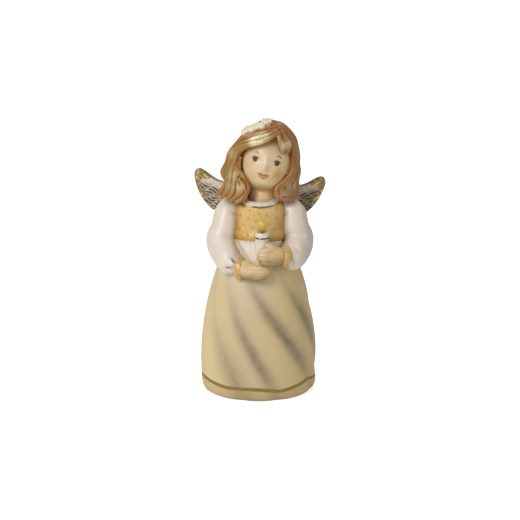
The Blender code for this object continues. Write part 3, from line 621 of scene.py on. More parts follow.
def pearl_glaze(name, lit, shade, shade_and_trim, rough=0.4):
    """White glaze with a faint pearl lustre, thick and soft. A darker colour is laid over it by a
    stored cover: painted shade in hollows, creases and under edges, and on the blouse front also
    the beige of its border bands.
    """
    material, tree, surface = finish(name, IOR=1.5, Roughness=rough, Coat_Weight=0.3,
                                     Coat_Roughness=0.3)
    drift = ranged(tree, clouded(tree, 5.0), 0.3, 0.7)
    ground = mixed(tree, times(tree, drift, 0.5), lit, shade)
    rose = ranged(tree, clouded(tree, 3.2, 2.0), 0.5, 0.72)
    ground = mixed(tree, times(tree, rose, 0.22), ground, "#EBD5CC")
    # Painted shade, and the beige border bands of the blouse front
    ground = mixed(tree, stored(tree, "shade_and_trim"), ground, shade_and_trim)
    set_link(tree, surface, "Base Color", ground)
    bumped(tree, surface, clouded(tree, 2.2, 2.0), 0.05, 0.35)
    return material


def skin_glaze():
    """Flesh underglaze under a satin glaze, with the features brushed on the face; the stored paint
    also lays painted shade and highlights over it.
    """
    material, tree, surface = finish("flesh_satin_glaze", IOR=1.5, Coat_Weight=0.22,
                                     Coat_Roughness=0.25)
    drift = ranged(tree, clouded(tree, 4.5), 0.32, 0.68)
    ground = mixed(tree, drift, "#EAD2AA", "#E4C698")
    fine = ranged(tree, clouded(tree, 0.5, 3.0), 0.4, 0.8)
    ground = mixed(tree, times(tree, fine, 0.12), ground, "#D3B183")
    ground = painted(tree, ground)
    set_link(tree, surface, "Base Color", ground)
    drifting_gloss(tree, surface, 1.2, 0.42, 0.5)
    bumped(tree, surface, clouded(tree, 0.8, 2.0), 0.012, 0.4)
    return material


def cuff_glaze():
    """Yellow gold underglaze, thick on the rolls, with orange brown painted shade in the groove
    between them and at the edges.
    """
    material, tree, surface = finish("golden_yellow_glaze", IOR=1.5, Coat_Weight=0.4,
                                     Coat_Roughness=0.12)
    brush = ranged(tree, clouded(tree, 0.8, 3.0), 0.3, 0.7)
    ground = mixed(tree, brush, "#DDB870", "#D3A75A")
    # Painted shade in the groove and at the edges of the band
    ground = mixed(tree, stored(tree, "crease_shade"), ground, "#B57A2C")
    set_link(tree, surface, "Base Color", ground)
    drifting_gloss(tree, surface, 0.9, 0.26, 0.4)
    bumped(tree, surface, clouded(tree, 0.5, 2.0), 0.02, 0.4)
    return material


def hair_glaze():
    """Caramel underglaze wiped off the ridges, dark in the grooves, under a glossy glaze.
    Cream streaks are brushed on the fringe and along a few locks, partly gold lustre and partly
    painted highlights."""
    material, tree, surface = finish("caramel_hair_glaze", IOR=1.5, Coat_Weight=0.5,
                                     Coat_Roughness=0.14)
    strand = stored(tree, "strand", "Vector")
    streaks = add(tree, "ShaderNodeTexNoise", {"Vector": strand, "Scale": 1.0, "Detail": 3.0,
                                               "Roughness": 0.6}).outputs[0]
    height = figured(tree, "ADD", stored(tree, "ridge"),
                     times(tree, figured(tree, "SUBTRACT", streaks, 0.5), 0.62))
    ramp = add(tree, "ShaderNodeValToRGB", {"Fac": height})
    stops = ((0.2, "#3E1C05"), (0.36, "#70400E"), (0.5, "#A16A20"), (0.66, "#BC8734"),
             (0.86, "#DAB25A"))
    points = ramp.color_ramp.elements
    while len(points) < len(stops):
        points.new(0.5)
    for point, (position, code) in zip(points, stops):
        point.position = position
        point.color = colour(code)
    cover, paint = stored(tree, "paint", "Alpha"), stored(tree, "paint", "Color")
    plain = ramp.outputs["Color"]
    ground = mixed(tree, cover, plain, mixed(tree, 1.0, plain, paint, "COLOR"))
    ground = mixed(tree, cover, ground, mixed(tree, 0.45, ground, paint))
    # Cream gold lustre and painted highlights along the ridges
    brushed_on = ranged(tree, figured(tree, "ADD", stored(tree, "ridge"), streaks), 0.86, 1.0)
    gilt = times(tree, stored(tree, "gilt"), brushed_on)
    ground = mixed(tree, gilt, ground, "#F6E8B4")
    set_link(tree, surface, "Base Color", ground)
    set_link(tree, surface, "Metallic", times(tree, gilt, 0.3))
    drifting_gloss(tree, surface, 1.0, 0.34, 0.46)
    bumped(tree, surface, streaks, 0.08, 0.8)
    return material


def wing_glaze():
    """Rose cream underglaze with antique brown rubbed into the relief and gold lustre on the rim."""
    material, tree, surface = finish("antiqued_wing_glaze", IOR=1.5, Coat_Weight=0.3,
                                     Coat_Roughness=0.2)
    ground = mixed(tree, ranged(tree, clouded(tree, 1.8), 0.35, 0.65), "#FBE8D2", "#EFD9C2")
    ground = painted(tree, ground)
    in_hollows = ranged(tree, stored(tree, "ridge"), 0.42, 0.16)
    ground = mixed(tree, times(tree, in_hollows, 0.75), ground, "#4A3E2E")
    fine = ranged(tree, clouded(tree, 0.35, 3.0), 0.35, 0.7)
    ground = mixed(tree, times(tree, fine, 0.14), ground, "#7D6A50")
    gilt = stored(tree, "gilt")
    set_link(tree, surface, "Base Color", ground)
    set_link(tree, surface, "Metallic", times(tree, gilt, 0.45))
    set_link(tree, surface, "Roughness", ranged(tree, gilt, 0.0, 1.0, 0.44, 0.3))
    bumped(tree, surface, clouded(tree, 0.6, 3.0), 0.03, 0.5)
    return material


def blossom_glaze():
    """Cream glaze with greenish grey painted shade in the hollows round the petals."""
    material, tree, surface = finish("cream_blossom_glaze", IOR=1.5, Roughness=0.34,
                                     Coat_Weight=0.3, Coat_Roughness=0.2)
    # Painted shade in the hollows between the petals
    in_hollows = ranged(tree, stored(tree, "ridge"), 0.5, 0.2)
    ground = mixed(tree, ranged(tree, clouded(tree, 1.1), 0.35, 0.65), "#F1E9D2", "#E9DDBE")
    ground = mixed(tree, times(tree, in_hollows, 0.85), ground, "#A59871")
    set_link(tree, surface, "Base Color", ground)
    bumped(tree, surface, clouded(tree, 0.5, 3.0), 0.03, 0.5)
    return material


def candle_glaze():
    """White glazed earthenware, with a gold band fired on."""
    material, tree, surface = finish("white_candle_glaze", IOR=1.52, Coat_Weight=0.5,
                                     Coat_Roughness=0.08)
    middle = CANDLE_TOP - CANDLE_BAND_DROP - CANDLE_BAND_WIDTH / 2
    away = figured(tree, "ABSOLUTE", figured(tree, "SUBTRACT", along_axis(tree, "Z"), middle))
    band = ranged(tree, away, CANDLE_BAND_WIDTH * 0.5 + 0.06 * MM, CANDLE_BAND_WIDTH * 0.5)
    ground = mixed(tree, ranged(tree, clouded(tree, 2.5), 0.35, 0.65), "#F3E7D8", "#E9DAC6")
    ground = mixed(tree, band, ground, "#6E5A2E")
    set_link(tree, surface, "Base Color", ground)
    set_link(tree, surface, "Metallic", times(tree, band, 0.8))
    set_link(tree, surface, "Roughness", ranged(tree, band, 0.0, 1.0, 0.25, 0.2))
    bumped(tree, surface, clouded(tree, 1.2, 2.0), 0.02, 0.4)
    return material


def flame_glaze():
    """Yellow glaze that runs to orange at the foot of the flame."""
    material, tree, surface = finish("yellow_flame_glaze", IOR=1.52, Roughness=0.25,
                                     Coat_Weight=0.6, Coat_Roughness=0.08)
    low = ranged(tree, along_axis(tree, "Z"), CANDLE_TOP + 3.4 * MM, CANDLE_TOP)
    ground = mixed(tree, ranged(tree, clouded(tree, 1.3), 0.35, 0.65), "#E0CE55", "#D3BE45")
    ground = mixed(tree, low, ground, "#BE7418")
    set_link(tree, surface, "Base Color", ground)
    bumped(tree, surface, clouded(tree, 0.9, 2.0), 0.02, 0.4)
    return material


# Camera, floor and light

def stage():
    """The camera at the photograph's angle, a white floor, and soft light from the left."""
    elevation = math.radians(CAMERA_ELEVATION)
    aim = Vector(CAMERA_AIM)
    camera = bpy.data.cameras.new("camera")
    camera.lens = CAMERA_LENS
    camera.sensor_width = 36
    camera.clip_end = 20
    viewer = bpy.data.objects.new("camera", camera)
    bpy.context.scene.collection.objects.link(viewer)
    viewer.location = aim + Vector((0, -math.cos(elevation), math.sin(elevation)))
    viewer.rotation_euler = (math.pi / 2 - elevation, 0, 0)
    bpy.context.scene.camera = viewer

    bpy.ops.object.select_all(action="DESELECT")
    bpy.ops.mesh.primitive_plane_add(size=12)
    floor = fresh("floor")
    material, tree, surface = finish("white_paper_sweep", Roughness=0.9)
    fine = ranged(tree, clouded(tree, 3.0), 0.3, 0.7)
    set_link(tree, surface, "Base Color", mixed(tree, fine, "#EFEFEE", "#F3F3F2"))
    seen = add(tree, "ShaderNodeLightPath").outputs["Is Camera Ray"]
    surface.inputs["Emission Color"].default_value = (1, 1, 1, 1)
    set_link(tree, surface, "Emission Strength", times(tree, seen, FLOOR_GLOW))
    floor.data.materials.append(material)

    for name, place, size, power in LAMPS:
        lamp = bpy.data.lights.new(name, "AREA")
        lamp.shape = "SQUARE"
        lamp.size = size
        lamp.energy = power
        lit = bpy.data.objects.new(name, lamp)
        bpy.context.scene.collection.objects.link(lit)
        lit.location = place
        lit.rotation_euler = (aim - lit.location).to_track_quat("-Z", "Y").to_euler()

    world = bpy.data.worlds.new("studio")
    bpy.context.scene.world = world
    world.use_nodes = True
    tree = world.node_tree
    paths = add(tree, "ShaderNodeLightPath").outputs
    direct = figured(tree, "MAXIMUM", paths["Is Camera Ray"], paths["Is Transmission Ray"])
    ground = tree.nodes["Background"]
    ground.inputs["Color"].default_value = (1, 1, 1, 1)
    tree.links.new(ranged(tree, direct, 0.0, 1.0, ROOM_LIGHT, 1.0), ground.inputs["Strength"])
    bpy.context.scene.view_settings.view_transform = "Standard"


# Skirt

def bell(height):
    """Skirt radius at a height, without folds."""
    if height <= HEM_STRAIGHT:
        return HEM_RADIUS
    share = (height - HEM_STRAIGHT) / (WAIST_HEIGHT - HEM_STRAIGHT)
    radius = HEM_RADIUS - (HEM_RADIUS - WAIST_RADIUS) * share ** 2
    near = min(1.0, max(0.0, 1 - (WAIST_HEIGHT - height) / WAIST_ROUNDING))
    return radius - WAIST_ROUNDING * (1 - math.sqrt(1 - near ** 2)) * 0.6


def fold_share(angles, heights):
    """How deep in a fold each point of the skirt lies, from 0 to about 1, and its spray."""
    share = heights / WAIST_HEIGHT
    depth = np.zeros_like(angles)
    spray = np.zeros_like(angles)
    for (hem_angle, turn), (strength, middle, reach, wide) in zip(FOLDS, SPRAY):
        away = (angles - hem_angle - turn * share + 180) % 360 - 180
        half = np.where(away < 0, FOLD_HALF_WIDTH, FOLD_HALF_WIDTH * 0.7)
        depth += np.exp(-(away / half) ** 2)
        high = np.exp(-((heights / MM - middle) / reach) ** 2)
        edge = wide * np.where(away < 1, FOLD_HALF_WIDTH * 0.62, FOLD_HALF_WIDTH * 0.85)
        spray = np.maximum(spray, strength * high * np.exp(-((away - 1) / edge) ** 2))
    return depth, spray


def hem_line_height(angles):
    """Height of the gold line in mm at each angle in degrees."""
    keys = [(a - 360, h) for a, h in HEM_LINE] + list(HEM_LINE) + [(a + 360, h) for a, h in HEM_LINE]
    smooth = through(keys, 40 * len(keys))
    return np.interp(angles, smooth[:, 0], smooth[:, 1])


def hollow_radius(height):
    """Radius of the hollow behind the wall at a height."""
    return bell(height) - WALL - FOLD_DEPTH


def skirt():
    """The bell of the skirt with slanting folds, its foot, and the hollow behind the vent."""
    rows = 110
    profile = [(0, WAIST_HEIGHT)]
    for i in range(rows + 1):
        height = WAIST_HEIGHT * (1 - i / rows)
        radius = bell(height)
        if height < HEM_ROUNDING:
            radius -= HEM_TUCK * (1 - math.sqrt(1 - (1 - height / HEM_ROUNDING) ** 2))
        profile.append((radius, height))
    inner = HEM_RADIUS - HEM_TUCK - FOOT_WIDTH
    floor = FOOT_RECESS + FLOOR
    profile += [(inner + 0.3 * MM, 0), (inner, 0.15 * MM), (inner - 0.6 * MM, FOOT_RECESS),
                (VENT_RADIUS + 0.2 * MM, FOOT_RECESS), (VENT_RADIUS, FOOT_RECESS + 0.2 * MM),
                (VENT_RADIUS, floor), (hollow_radius(0) - 1.5 * MM, floor)]
    for i in range(1, 25):
        height = floor + (WAIST_HEIGHT - WALL - floor) * i / 24
        profile.append((hollow_radius(height), height))
    profile.append((0, WAIST_HEIGHT - WALL))
    item = turned("skirt", profile, 288)
    points = points_of(item)
    radii = np.hypot(points[:, 0], points[:, 1])
    outline = np.array([bell(z) for z in points[:, 2]])
    outer = step_between(0.86, 0.93, radii / outline)
    angles = np.degrees(np.arctan2(points[:, 0], -points[:, 1]))
    depth, spray = fold_share(angles, points[:, 2])
    share = points[:, 2] / WAIST_HEIGHT
    depth *= (1 - 0.75 * share) * (0.5 + 0.5 * np.minimum(1, points[:, 2] / FOLD_FOOT))
    factor = 1 - outer * FOLD_DEPTH * depth / np.maximum(radii, 1 * MM)
    points[:, :2] *= factor[:, None]
    put_points(item, points)
    keep(item, "valley", spray * outer)
    keep(item, "above_line", np.where(outer > 0.5, points[:, 2] / MM - hem_line_height(angles), 9))
    keep(item, "bare_clay", (outer < 0.2).astype(float))
    return dress(item, matt_skirt_glaze())


# Bodice, blouse front, neck and collar

def bodice():
    """The turned bodice, drawn in flat front and back, with a scalloped lip over the skirt."""
    top = SHOULDER_HEIGHT
    points = [(0, top + 0.6 * MM), (NECK_RADIUS + 1.0 * MM, top - 0.5 * MM),
              (BODICE_RADIUS * 0.86, top - 1.2 * MM), (BODICE_RADIUS * 0.98, top - 3 * MM),
              (BODICE_RADIUS, WAIST_HEIGHT + 4 * MM),
              (BODICE_RADIUS + BODICE_LIP * 0.8, WAIST_HEIGHT + 1.4 * MM),
              (BODICE_RADIUS + BODICE_LIP, WAIST_HEIGHT - BODICE_OVERHANG)]
    profile = [tuple(row) for row in through(points, 70)]
    lip = profile[-1]
    profile += [(lip[0] - 0.25 * MM, lip[1] - 0.4 * MM), (lip[0] - 0.9 * MM, lip[1] - 0.5 * MM),
                (lip[0] - 1.9 * MM, lip[1] - 1.2 * MM), (lip[0] - 1.9 * MM, WAIST_HEIGHT - 3 * MM),
                (0, WAIST_HEIGHT - 3 * MM)]
    item = turned("bodice", profile, 224)
    points = points_of(item)
    angles = np.arctan2(points[:, 0], -points[:, 1])
    low = step_between(WAIST_HEIGHT + 3.4 * MM, WAIST_HEIGHT - BODICE_OVERHANG, points[:, 2])
    high = step_between(WAIST_HEIGHT - 3 * MM, WAIST_HEIGHT - 0.7 * MM, points[:, 2])
    scallop = np.sin(angles * BODICE_SCALLOPS)
    points[:, 2] += BODICE_SCALLOP_DEPTH * scallop * low * high
    crinkle = np.sin(angles * 33) * np.sin(points[:, 2] / MM * 1.7 + 2 * np.sin(angles * 5))
    swell = 1 + (0.010 * scallop * low + 0.006 * crinkle) * high
    points[:, 0] *= swell
    points[:, 1] *= swell * BODICE_FLATNESS
    points[:, 0] += BODY_LEAN
    put_points(item, points)
    # Painted shade on the front of the sides where the sleeves meet the bodice; near the waist the
    # dark brown paint of the lip's lower edge
    radii = np.hypot(points[:, 0], points[:, 1])
    across = np.abs(points[:, 0] - BODY_LEAN) / BODICE_RADIUS
    sides = step_between(0.62, 0.98, across) * step_between(-0.5, 0, -points[:, 1] / radii)
    x, z = points[:, 0] / MM, points[:, 2] / MM
    sides = np.maximum(sides, 0.9 * spot(x, z, (8.4, 61.5), (2.4, 4.6)))
    sides = np.maximum(sides, 0.5 * spot(x, z, (-7.0, 58.8), (3.2, 2.2)))
    keep(item, "edge_shade_and_trim", np.clip(0.75 * sides + 0.55 * low * step_between(
        WAIST_HEIGHT + 2.4 * MM, WAIST_HEIGHT + 0.2 * MM, points[:, 2]), 0, 1))
    # Painted shade under the overhanging lip
    keep(item, "under_lip_shade", 0.85 * step_between(WAIST_HEIGHT, WAIST_HEIGHT - 0.5 * MM,
                                                points[:, 2]))
    distance = np.full(len(points), 99.0)
    for right, up in DOTS:
        for mirror in (1, -1):
            front = points[:, 1] * mirror < 0
            away = np.hypot(x - right * mirror, z - up)
            distance = np.where(front, np.minimum(distance, away), distance)
    keep(item, "dot_distance", distance)
    return dress(item, ochre_bodice_glaze())


def blouse_front(glaze):
    """The pleated front of the blouse, which narrows downwards between the hands."""
    bpy.ops.object.select_all(action="DESELECT")
    bpy.ops.mesh.primitive_grid_add(x_subdivisions=180, y_subdivisions=60, size=2)
    item = fresh("blouse_front")
    points = points_of(item)
    across, share = points[:, 0].copy(), (1 - points[:, 1]) / 2
    half = BLOUSE_POINT_ANGLE + (BLOUSE_ANGLE - BLOUSE_POINT_ANGLE) * np.maximum(0, 1 - share) ** 1.5
    angles = np.radians(across * half)
    heights = WAIST_HEIGHT - BLOUSE_DROP * np.maximum(0, share) ** 1.5
    border = step_between(0.82, 0.86, np.abs(across)) * step_between(0.0, 0.08, share)
    pleat = np.abs(np.sin(math.pi * (across + 1) / 2 * BLOUSE_PLEATS + 0.6 * np.sin(share * 5)))
    rise = BLOUSE_RELIEF * np.where(border > 0.5, 0.9, 0.55 + 0.3 * pleat ** 0.7)
    radii = np.array([bell(z) for z in heights]) + rise
    points[:, 0] = BODY_LEAN / 2 + radii * np.sin(angles)
    points[:, 1] = -radii * np.cos(angles)
    points[:, 2] = heights
    put_points(item, points)
    # Painted shade in the hollows between the pleats, and the beige of the two border bands
    keep(item, "shade_and_trim", np.clip(0.4 * (1 - pleat) ** 3 * (1 - border) + 0.7 * border, 0, 1))
    modify(item, "SOLIDIFY", thickness=1.2 * MM, offset=-1)
    modify(item, "BEVEL", width=0.15 * MM, segments=2, limit_method="ANGLE")
    welded(item)
    return dress(item, glaze)


def neck(glaze):
    """The neck leans towards the head. Painted shade lies under the chin, on its -X side and at its
    foot, and a warm painted light lifts its +X side out of shadow.
    """
    low = SHOULDER_HEIGHT - 2 * MM
    start = Vector((BODY_LEAN + 0.6 * MM, 0, low))
    end = HEAD_CENTRE - Vector((0.4 * MM, 0, 3 * MM))
    rows = through([(*start, NECK_RADIUS + 1.2 * MM), (*start.lerp(end, 0.35), NECK_RADIUS),
                    (*start.lerp(end, 0.65), NECK_RADIUS * 0.97), (*end, NECK_RADIUS + 0.3 * MM)],
                   40)
    item = swept("neck", [rows], 14)
    points = points_of(item)
    x, z = points[:, 0] / MM, points[:, 2] / MM
    high = step_between(SHOULDER_HEIGHT / MM + 2.6, SHOULDER_HEIGHT / MM + 5.4, z)
    # Painted shade at -X, under the chin and at the foot, and painted light at +X
    layer = brushed([(0.4 * step_between(0.5, -2.5, x), "#B89A68"),
                     (0.5 * step_between(-1.5, 2.5, x), "#FBD08A"), (0.7 * high, "#B88234"),
                     (0.3 * step_between(SHOULDER_HEIGHT / MM + 1.2, SHOULDER_HEIGHT / MM, z),
                      "#A98A5C")])
    keep(item, "paint", layer)
    return dress(item, glaze)


def collar(glaze):
    """A ruffle that widens from the neck, thick and soft as slip cast ones are."""
    inner = COLLAR_RADIUS - COLLAR_WIDTH / 2
    bpy.ops.object.select_all(action="DESELECT")
    bpy.ops.mesh.primitive_circle_add(vertices=COLLAR_FRILLS * 20, radius=inner)
    item = fresh("collar")
    bpy.ops.object.mode_set(mode="EDIT")
    bpy.ops.mesh.select_all(action="SELECT")
    rings = 8
    for i in range(rings):
        before = inner + COLLAR_WIDTH * i / rings
        after = inner + COLLAR_WIDTH * (i + 1) / rings
        bpy.ops.mesh.extrude_edges_move(TRANSFORM_OT_translate={"value": (0, 0, 0)})
        bpy.ops.transform.resize(value=(after / before, after / before, 1),
                                 center_override=(0, 0, 0))
    bpy.ops.object.mode_set(mode="OBJECT")
    points = points_of(item)
    radii = np.hypot(points[:, 0], points[:, 1])
    angles = np.arctan2(points[:, 0], -points[:, 1])
    width = np.maximum(0, radii - inner) / COLLAR_WIDTH
    frill = np.sin(angles * COLLAR_FRILLS + 0.9 * np.sin(angles * 3))
    radii += 0.03 * MM * frill * width
    front = np.cos(angles)
    points[:, 0] = BODY_LEAN + radii * np.sin(angles)
    points[:, 1] = -COLLAR_FORWARD - (radii + COLLAR_DEPTH - COLLAR_RADIUS) * front
    points[:, 2] = (SHOULDER_HEIGHT + 0.2 * MM - 0.5 * MM * front - 0.9 * MM * width ** 1.4
                    + 0.04 * MM * frill * width)
    put_points(item, points)
    modify(item, "SOLIDIFY", thickness=1.3 * MM, offset=0)
    modify(item, "BEVEL", width=0.6 * MM, segments=5, limit_method="ANGLE")
    welded(item)
    points = points_of(item)
    # Painted shadow along the underside of the collar at the front
    under = step_between(0.1, -0.5, normals_of(item)[:, 2]) * step_between(
        -COLLAR_FORWARD - 3 * MM, -COLLAR_FORWARD - 5 * MM, points[:, 1])
    keep(item, "shade_and_trim", 0.9 * under * step_between(4.2, 3.2, np.abs(points[:, 0] / MM - 1.3)))
    return dress(item, glaze)


# Arms

def side_name(side, piece):
    """The name of a piece of a pair, seen from the front: the left one is at -X."""
    return ("left_" if side < 0 else "right_") + piece


def wrist(side):
    """Where each arm ends in its cuff; the arm at +X holds the candle higher up."""
    height = HAND_HEIGHT_LOW + (HANDS_APART if side > 0 else 0)
    return CANDLE_AXIS + Vector((0, 0, height)) + Vector(WRIST_PLACE[side > 0]) * MM


def palm(side):
    """The middle of each palm."""
    return wrist(side) + Vector(PALM_PLACE[side > 0]) * MM


def sleeve(side, glaze):
    """A puffed sleeve, gathered at the shoulder and into the cuff."""
    shoulder = Vector((BODY_LEAN + side * (BODICE_RADIUS + 1.8 * MM), 0.6 * MM,
                       SHOULDER_HEIGHT - 5.0 * MM))
    elbow = Vector((BODY_LEAN + side * ELBOW_REACH, -2.6 * MM, SHOULDER_HEIGHT - ELBOW_DROP))
    end = wrist(side)
    sag = (1.4 if side < 0 else 2.1) * MM
    fore = elbow.lerp(end, 0.55) + Vector((side * 0.4 * MM, -0.6 * MM, -sag))
    keys = [
        (*(shoulder + Vector((-side * 3.6, 0, 1.0)) * MM), SHOULDER_RADIUS * 0.7),
        (*shoulder, SHOULDER_RADIUS),
        (*shoulder.lerp(elbow, 0.5), SLEEVE_RADIUS * 0.93),
        (*elbow, SLEEVE_RADIUS),
        (*fore, SLEEVE_RADIUS * 0.93),
        (*fore.lerp(end, 0.62), SLEEVE_RADIUS * 0.72),
        (*end, CUFF_RADIUS * 0.9),
    ]
    rows = through(keys, 110)
    item = swept(side_name(side, "sleeve"), [rows], 18)
    modify(item, "REMESH", mode="VOXEL", voxel_size=0.28 * MM)
    modify(item, "SMOOTH", factor=0.5, iterations=4)
    points = points_of(item)
    normals = normals_of(item)
    centre = np.array(shoulder.lerp(end, 0.5) + Vector((0, 8 * MM, 0)))
    _, share, across = along_strands(points, [rows], centre)
    across = across / SLEEVE_RADIUS
    gathers = np.sin(across * 9 + 2 * np.sin(share * 9)) * step_between(0.62, 0.97, share)
    gathers += 0.7 * np.sin(across * 8 + 1) * step_between(0.32, 0.1, share)
    broad = np.sin(across * 4.2 + share * 11) * step_between(0.2, 0.5, share)
    points += normals * ((0.16 * gathers + 0.14 * broad) * MM)[:, None]
    dents = np.zeros(len(points))
    for x, z, length, width, slant, strength in SLEEVE_DENTS[side > 0]:
        turn = math.radians(slant)
        dx = points[:, 0] / MM - x
        dz = points[:, 2] / MM - z
        far = (dx * math.cos(turn) + dz * math.sin(turn)) / length
        near = (-dx * math.sin(turn) + dz * math.cos(turn)) / width
        dents += strength * np.exp(-far ** 2 - near ** 2) * (points[:, 1] < -2 * MM)
    points -= normals * (0.45 * MM * dents)[:, None]
    if side > 0:
        away = np.hypot(points[:, 0] / MM - ELBOW_POINT[0], points[:, 2] / MM - ELBOW_POINT[1])
        points += normals * (0.45 * MM * np.exp(-(away / 0.75) ** 2) * (points[:, 1] < 0))[:, None]
    put_points(item, points)
    # Painted shade in the hollows of the gathers and in the creases, on the inner side next to the
    # bodice, and on the outer part of the sleeve at +X away from the light
    hollow = step_between(0.2, -0.9, gathers) * step_between(0.7, 0.98, share) * 0.5
    x = side * (points[:, 0] - BODY_LEAN) / MM
    shade = 0.34 * step_between(10.8, 8.6, x) + (0.26 if side > 0 else 0.0) * step_between(11, 18, x)
    keep(item, "shade_and_trim", np.clip(0.5 * hollow + shade + 0.8 * step_between(0.05, 0.95, dents), 0, 1))
    return dress(item, glaze)


def cuff(side, glaze):
    """A wide flat band of two folds round the wrist with a very shallow groove between them, which
    painted shade darkens.
    """
    end = wrist(side)
    along = (palm(side) - end).normalized()
    along = (along + Vector((-side * (1.5 if side < 0 else 0.9), 0, 0))).normalized()
    half = CUFF_WIDTH / 2
    profile = [(0, half)]
    for i in range(41):
        t = i / 40
        roll = abs(math.sin(math.tau * t)) ** 0.5
        edge = min(1, 4 * min(t, 1 - t))
        profile.append((CUFF_RADIUS + CUFF_THICKNESS * (0.98 + 0.02 * roll) * edge ** 0.5,
                        half * (1 - 2 * t)))
    profile.append((0, -half))
    item = turned(side_name(side, "cuff"), profile, 112)
    points = points_of(item)
    angles = np.arctan2(points[:, 0], points[:, 1])
    radii = np.hypot(points[:, 0], points[:, 1])
    rim = step_between(CUFF_RADIUS * 0.8, CUFF_RADIUS, radii)
    middle = np.exp(-(points[:, 2] / (0.2 * MM)) ** 2)
    pucker = 1 + 0.016 * np.sin(angles * 13 + points[:, 2] / half) * rim
    points[:, :2] *= pucker[:, None]
    put_points(item, points)
    # Painted shade in the groove between the folds and at both edges of the band
    outer = step_between(0.75, 0.95, np.abs(points[:, 2]) / half)
    keep(item, "crease_shade", np.clip(0.45 * middle + 0.4 * outer, 0, 1) * rim)
    turn = along.to_track_quat("Z", "Y").to_matrix().to_4x4()
    item.data.transform(Matrix.Translation(end) @ turn)
    return dress(item, glaze)


def hand(side, glaze):
    """Palm, four fingers and a thumb, run together as they are in the mould."""
    end = wrist(side)
    centre = palm(side)
    reach = Vector((-side, 0, 0))
    length, depth = PALM_SIZE
    forms = [ball("palm", centre, (length * 0.6, depth * 0.56, PALM_WIDTH[side > 0] * 0.52))]
    strands = [rounded_limb([(*end, CUFF_RADIUS), (*end.lerp(centre, 0.5), CUFF_RADIUS),
                             (*centre, 2.7 * MM)], 12)]
    spread = PALM_WIDTH[side > 0] / 4.3
    for i, length in enumerate(FINGER_LENGTHS[side > 0]):
        drop = (1.5 - i) * spread
        root = centre + Vector((0, -depth * 0.28, drop))
        middle = root + reach * length * 0.62 * MM + Vector((0, -depth / 6, drop * -0.06))
        tip = root + reach * length * MM + Vector((0, depth / 8, drop * -0.2))
        strands.append(rounded_limb([(*root, FINGER_RADIUS), (*middle, FINGER_RADIUS),
                                     (*tip, FINGER_RADIUS * 0.86)], 14))
    root, middle, tip = (centre + Vector(place) * MM for place in THUMB[side > 0])
    heel = 1.45 if side > 0 else 2.0
    strands.append(rounded_limb([(*root, FINGER_RADIUS * heel), (*middle, FINGER_RADIUS * 1.3),
                                 (*tip, FINGER_RADIUS)], 14))
    if side < 0:
        forms.append(ball("heel", end + Vector(HEEL_PLACE) * MM, [size * MM for size in HEEL_SIZE]))
        forms.append(ball("pad", centre + Vector(PAD_PLACE) * MM, [size * MM for size in PAD_SIZE]))
    forms.append(swept("fingers", strands, 6))
    item = joined(forms, side_name(side, "hand"))
    modify(item, "REMESH", mode="VOXEL", voxel_size=0.13 * MM)
    modify(item, "SMOOTH", factor=0.5, iterations=9)
    points = points_of(item)
    # Painted shade in the creases between the fingers and on the underside of the hand, and a warm
    # tint that deepens towards +X as painted shade away from the light
    crease_shade = relief(item, 14, 0.08 * MM)
    low = step_between(centre[2] + 1.2 * MM, centre[2] - 2.6 * MM, points[:, 2])
    far = step_between(-1, 9, points[:, 0] / MM)
    keep(item, "paint", brushed([(0.35 * far + 0.2, "#C79F62"),
                                 ((0.7 if side > 0 else 0.9) * low, "#96702E"),
                                 (0.8 * step_between(0.42, 0.1, crease_shade), "#A87A40")]))
    return dress(item, glaze)


# Candle

def candle():
    """A stick candle with a gold band and a rounded, slightly dished top."""
    top = CANDLE_TOP
    band = top - CANDLE_BAND_DROP
    raised = CANDLE_RADIUS + 0.15 * MM
    soft = 0.1 * MM
    profile = [(0, top - 0.45 * MM), (CANDLE_RADIUS - 1.2 * MM, top - 0.4 * MM),
               (CANDLE_RADIUS - 0.75 * MM, top - 0.1 * MM), (CANDLE_RADIUS - 0.5 * MM, top),
               (CANDLE_RADIUS - 0.2 * MM, top - 0.05 * MM), (CANDLE_RADIUS, top - 0.3 * MM),
               (CANDLE_RADIUS, top - 1.2 * MM), (CANDLE_RADIUS, band + soft), (raised, band),
               (raised, band - CANDLE_BAND_WIDTH), (CANDLE_RADIUS, band - CANDLE_BAND_WIDTH - soft)]
    for i in range(1, 9):
        profile.append((CANDLE_RADIUS, band - 1 * MM - (CANDLE_LENGTH - 4.2 * MM) * i / 8))
    profile.append((0, top - CANDLE_LENGTH))
    item = turned("candle", profile, 96)
    points = points_of(item)
    angles = np.arctan2(points[:, 0], -points[:, 1])
    lean = 1 + 0.012 * np.sin(angles * 2 + 1) + 0.006 * np.sin(angles * 5)
    points[:, :2] *= lean[:, None]
    points += np.array(CANDLE_AXIS)
    put_points(item, points)
    return dress(item, candle_glaze())


def flame():
    """A modelled drop of flame, full at the foot and rounded at the tip."""
    profile = []
    rows = 40
    for i in range(rows + 1):
        t = i / rows
        width = math.sin(math.pi * min(1, t ** 0.86)) ** 0.62 * (0.8 + 0.32 * t)
        profile.append((FLAME_RADIUS * min(width, 1.0),
                        CANDLE_TOP + FLAME_HEIGHT * (1 - t) - 0.6 * MM))
    profile[0] = (0, profile[0][1])
    profile[-1] = (0, profile[-1][1])
    item = turned("flame", profile, 64)
    points = points_of(item)
    high = (points[:, 2] - CANDLE_TOP) / FLAME_HEIGHT
    angles = np.arctan2(points[:, 0], -points[:, 1])
    swirl = 1 + 0.035 * np.sin(angles * 3 + high * 4)
    points[:, 0] = points[:, 0] * swirl - 0.25 * MM * np.clip(high, 0, 1) ** 2
    points[:, 1] *= swirl
    points += np.array(CANDLE_AXIS)
    put_points(item, points)
    return dress(item, flame_glaze())


# Head

